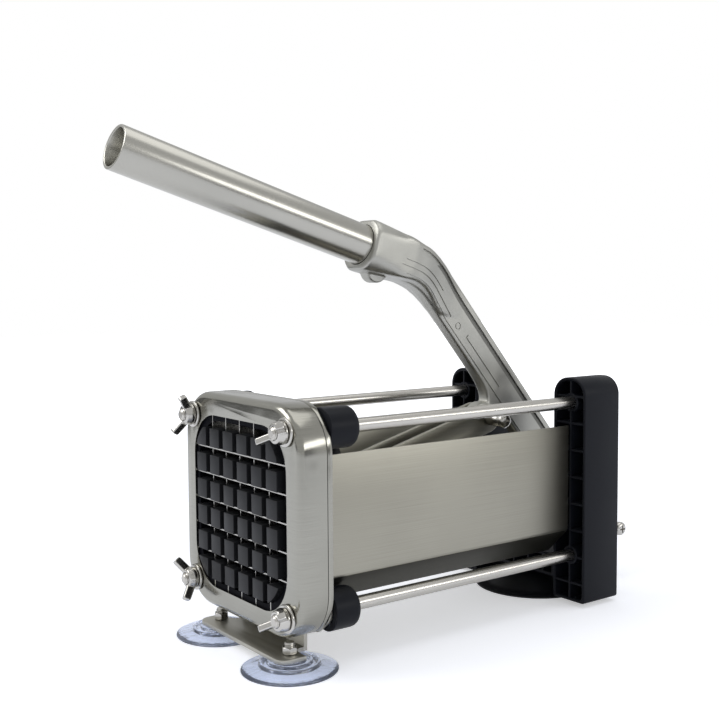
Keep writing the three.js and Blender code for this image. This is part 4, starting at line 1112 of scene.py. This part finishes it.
def makeFloor():
    # white to the camera, with a soft shadow that shows more in the reflections of the steel
    clearSelection()
    bpy.ops.mesh.primitive_plane_add(size=studio["floor"] * 2, location=(0, 0, 0))
    floor = bpy.context.object
    floor.name = "studioFloor"
    material = bpy.data.materials.new("studio floor")
    tree = emptyTree(material)
    coords = nodeOf(tree, "TexCoord", {})
    distance = nodeOf(tree, "VectorMath", {0: coords.outputs["Object"]})
    distance.operation = "LENGTH"
    away = distance.outputs["Value"]
    fade = rangeOf(tree, away, studio["floorGlow"], 1, studio["fadeStart"], studio["fadeEnd"])
    seen, mirrored = seenHow(tree)
    reflected = mathOf(tree, "MULTIPLY", mirrored, studio["reflectedGlow"])
    strength = mathOf(tree, "MULTIPLY_ADD", seen, fade, reflected)
    lit = nodeOf(tree, "BsdfDiffuse", {"Color": (*studio["floorColour"], 1)})
    glow = nodeOf(tree, "Emission", {"Color": (1, 1, 1, 1), "Strength": strength})
    add = nodeOf(tree, "AddShader", {0: lit.outputs["BSDF"], 1: glow.outputs["Emission"]})
    nodeOf(tree, "OutputMaterial", {"Surface": add.outputs["Shader"]})
    floor.data.materials.append(material)
    return floor


def facing(spot):
    return (Vector(studio["target"]) - Vector(spot)).to_track_quat("-Z", "Y").to_euler()


def makeLamp(name, spot, size, power):
    clearSelection()
    bpy.ops.object.light_add(type="AREA", location=spot)
    lamp = bpy.context.object
    lamp.name = name
    lamp.data.shape = "RECTANGLE"
    lamp.data.size = size[0]
    lamp.data.size_y = size[1]
    lamp.data.energy = power
    lamp.rotation_euler = facing(spot)


def makeCard(name, spot, size, colour):
    clearSelection()
    bpy.ops.mesh.primitive_plane_add(size=1, location=spot)
    card = bpy.context.object
    card.name = name
    card.scale = (*size, 1)
    card.rotation_euler = facing(spot)
    card.visible_camera = False
    card.visible_diffuse = False
    card.visible_shadow = False
    card.visible_transmission = False
    card.data.materials.append(newMaterial(name, colour, 0.9, {"Specular IOR Level": 0})[0])
    return card


def makeWorld():
    world = bpy.data.worlds.new("studio")
    bpy.context.scene.world = world
    tree = emptyTree(world)
    soft = nodeOf(tree, "Background", {"Color": (*studio["sky"], 1), "Strength": studio["skyStrength"]})
    white = nodeOf(tree, "Background", {"Color": (1, 1, 1, 1), "Strength": 1})
    seen, mirrored = seenHow(tree)
    share = mathOf(tree, "MULTIPLY_ADD", mirrored, studio["reflectedSky"], seen)
    mix = nodeOf(tree, "MixShader", {0: share, 1: soft.outputs["Background"], 2: white.outputs["Background"]})
    nodeOf(tree, "OutputWorld", {"Surface": mix.outputs["Shader"]})


for name, lamp in lamps.items():
    makeLamp(name, **lamp)
makeFloor()
cards = [makeCard(name, **card) for name, card in cardSizes.items()]
makeWorld()

# camera
view = {"spot": (421.14, -239.22, 170.91), "azimuth": 53.742, "down": 4.156, "roll": -0.389, "lens": 53.18}


def makeCamera():
    clearSelection()
    bpy.ops.object.camera_add(location=place(*view["spot"]))
    camera = bpy.context.object
    a, e, k = (math.radians(view[key]) for key in ("azimuth", "down", "roll"))
    ahead = Vector((-math.sin(a) * math.cos(e), math.cos(a) * math.cos(e), -math.sin(e)))
    level = Vector((math.cos(a), math.sin(a), 0))
    up = level.cross(ahead)
    right = level * math.cos(k) + up * math.sin(k)
    above = up * math.cos(k) - level * math.sin(k)
    turn = Matrix((right, above, -ahead)).transposed()
    camera.rotation_euler = turn.to_euler()
    camera.data.sensor_width = 36
    camera.data.lens = view["lens"]
    camera.data.clip_start = 0.01
    bpy.context.scene.camera = camera


makeCamera()
bpy.context.scene.view_settings.view_transform = "Standard"
clearSelection()
print("studio made")
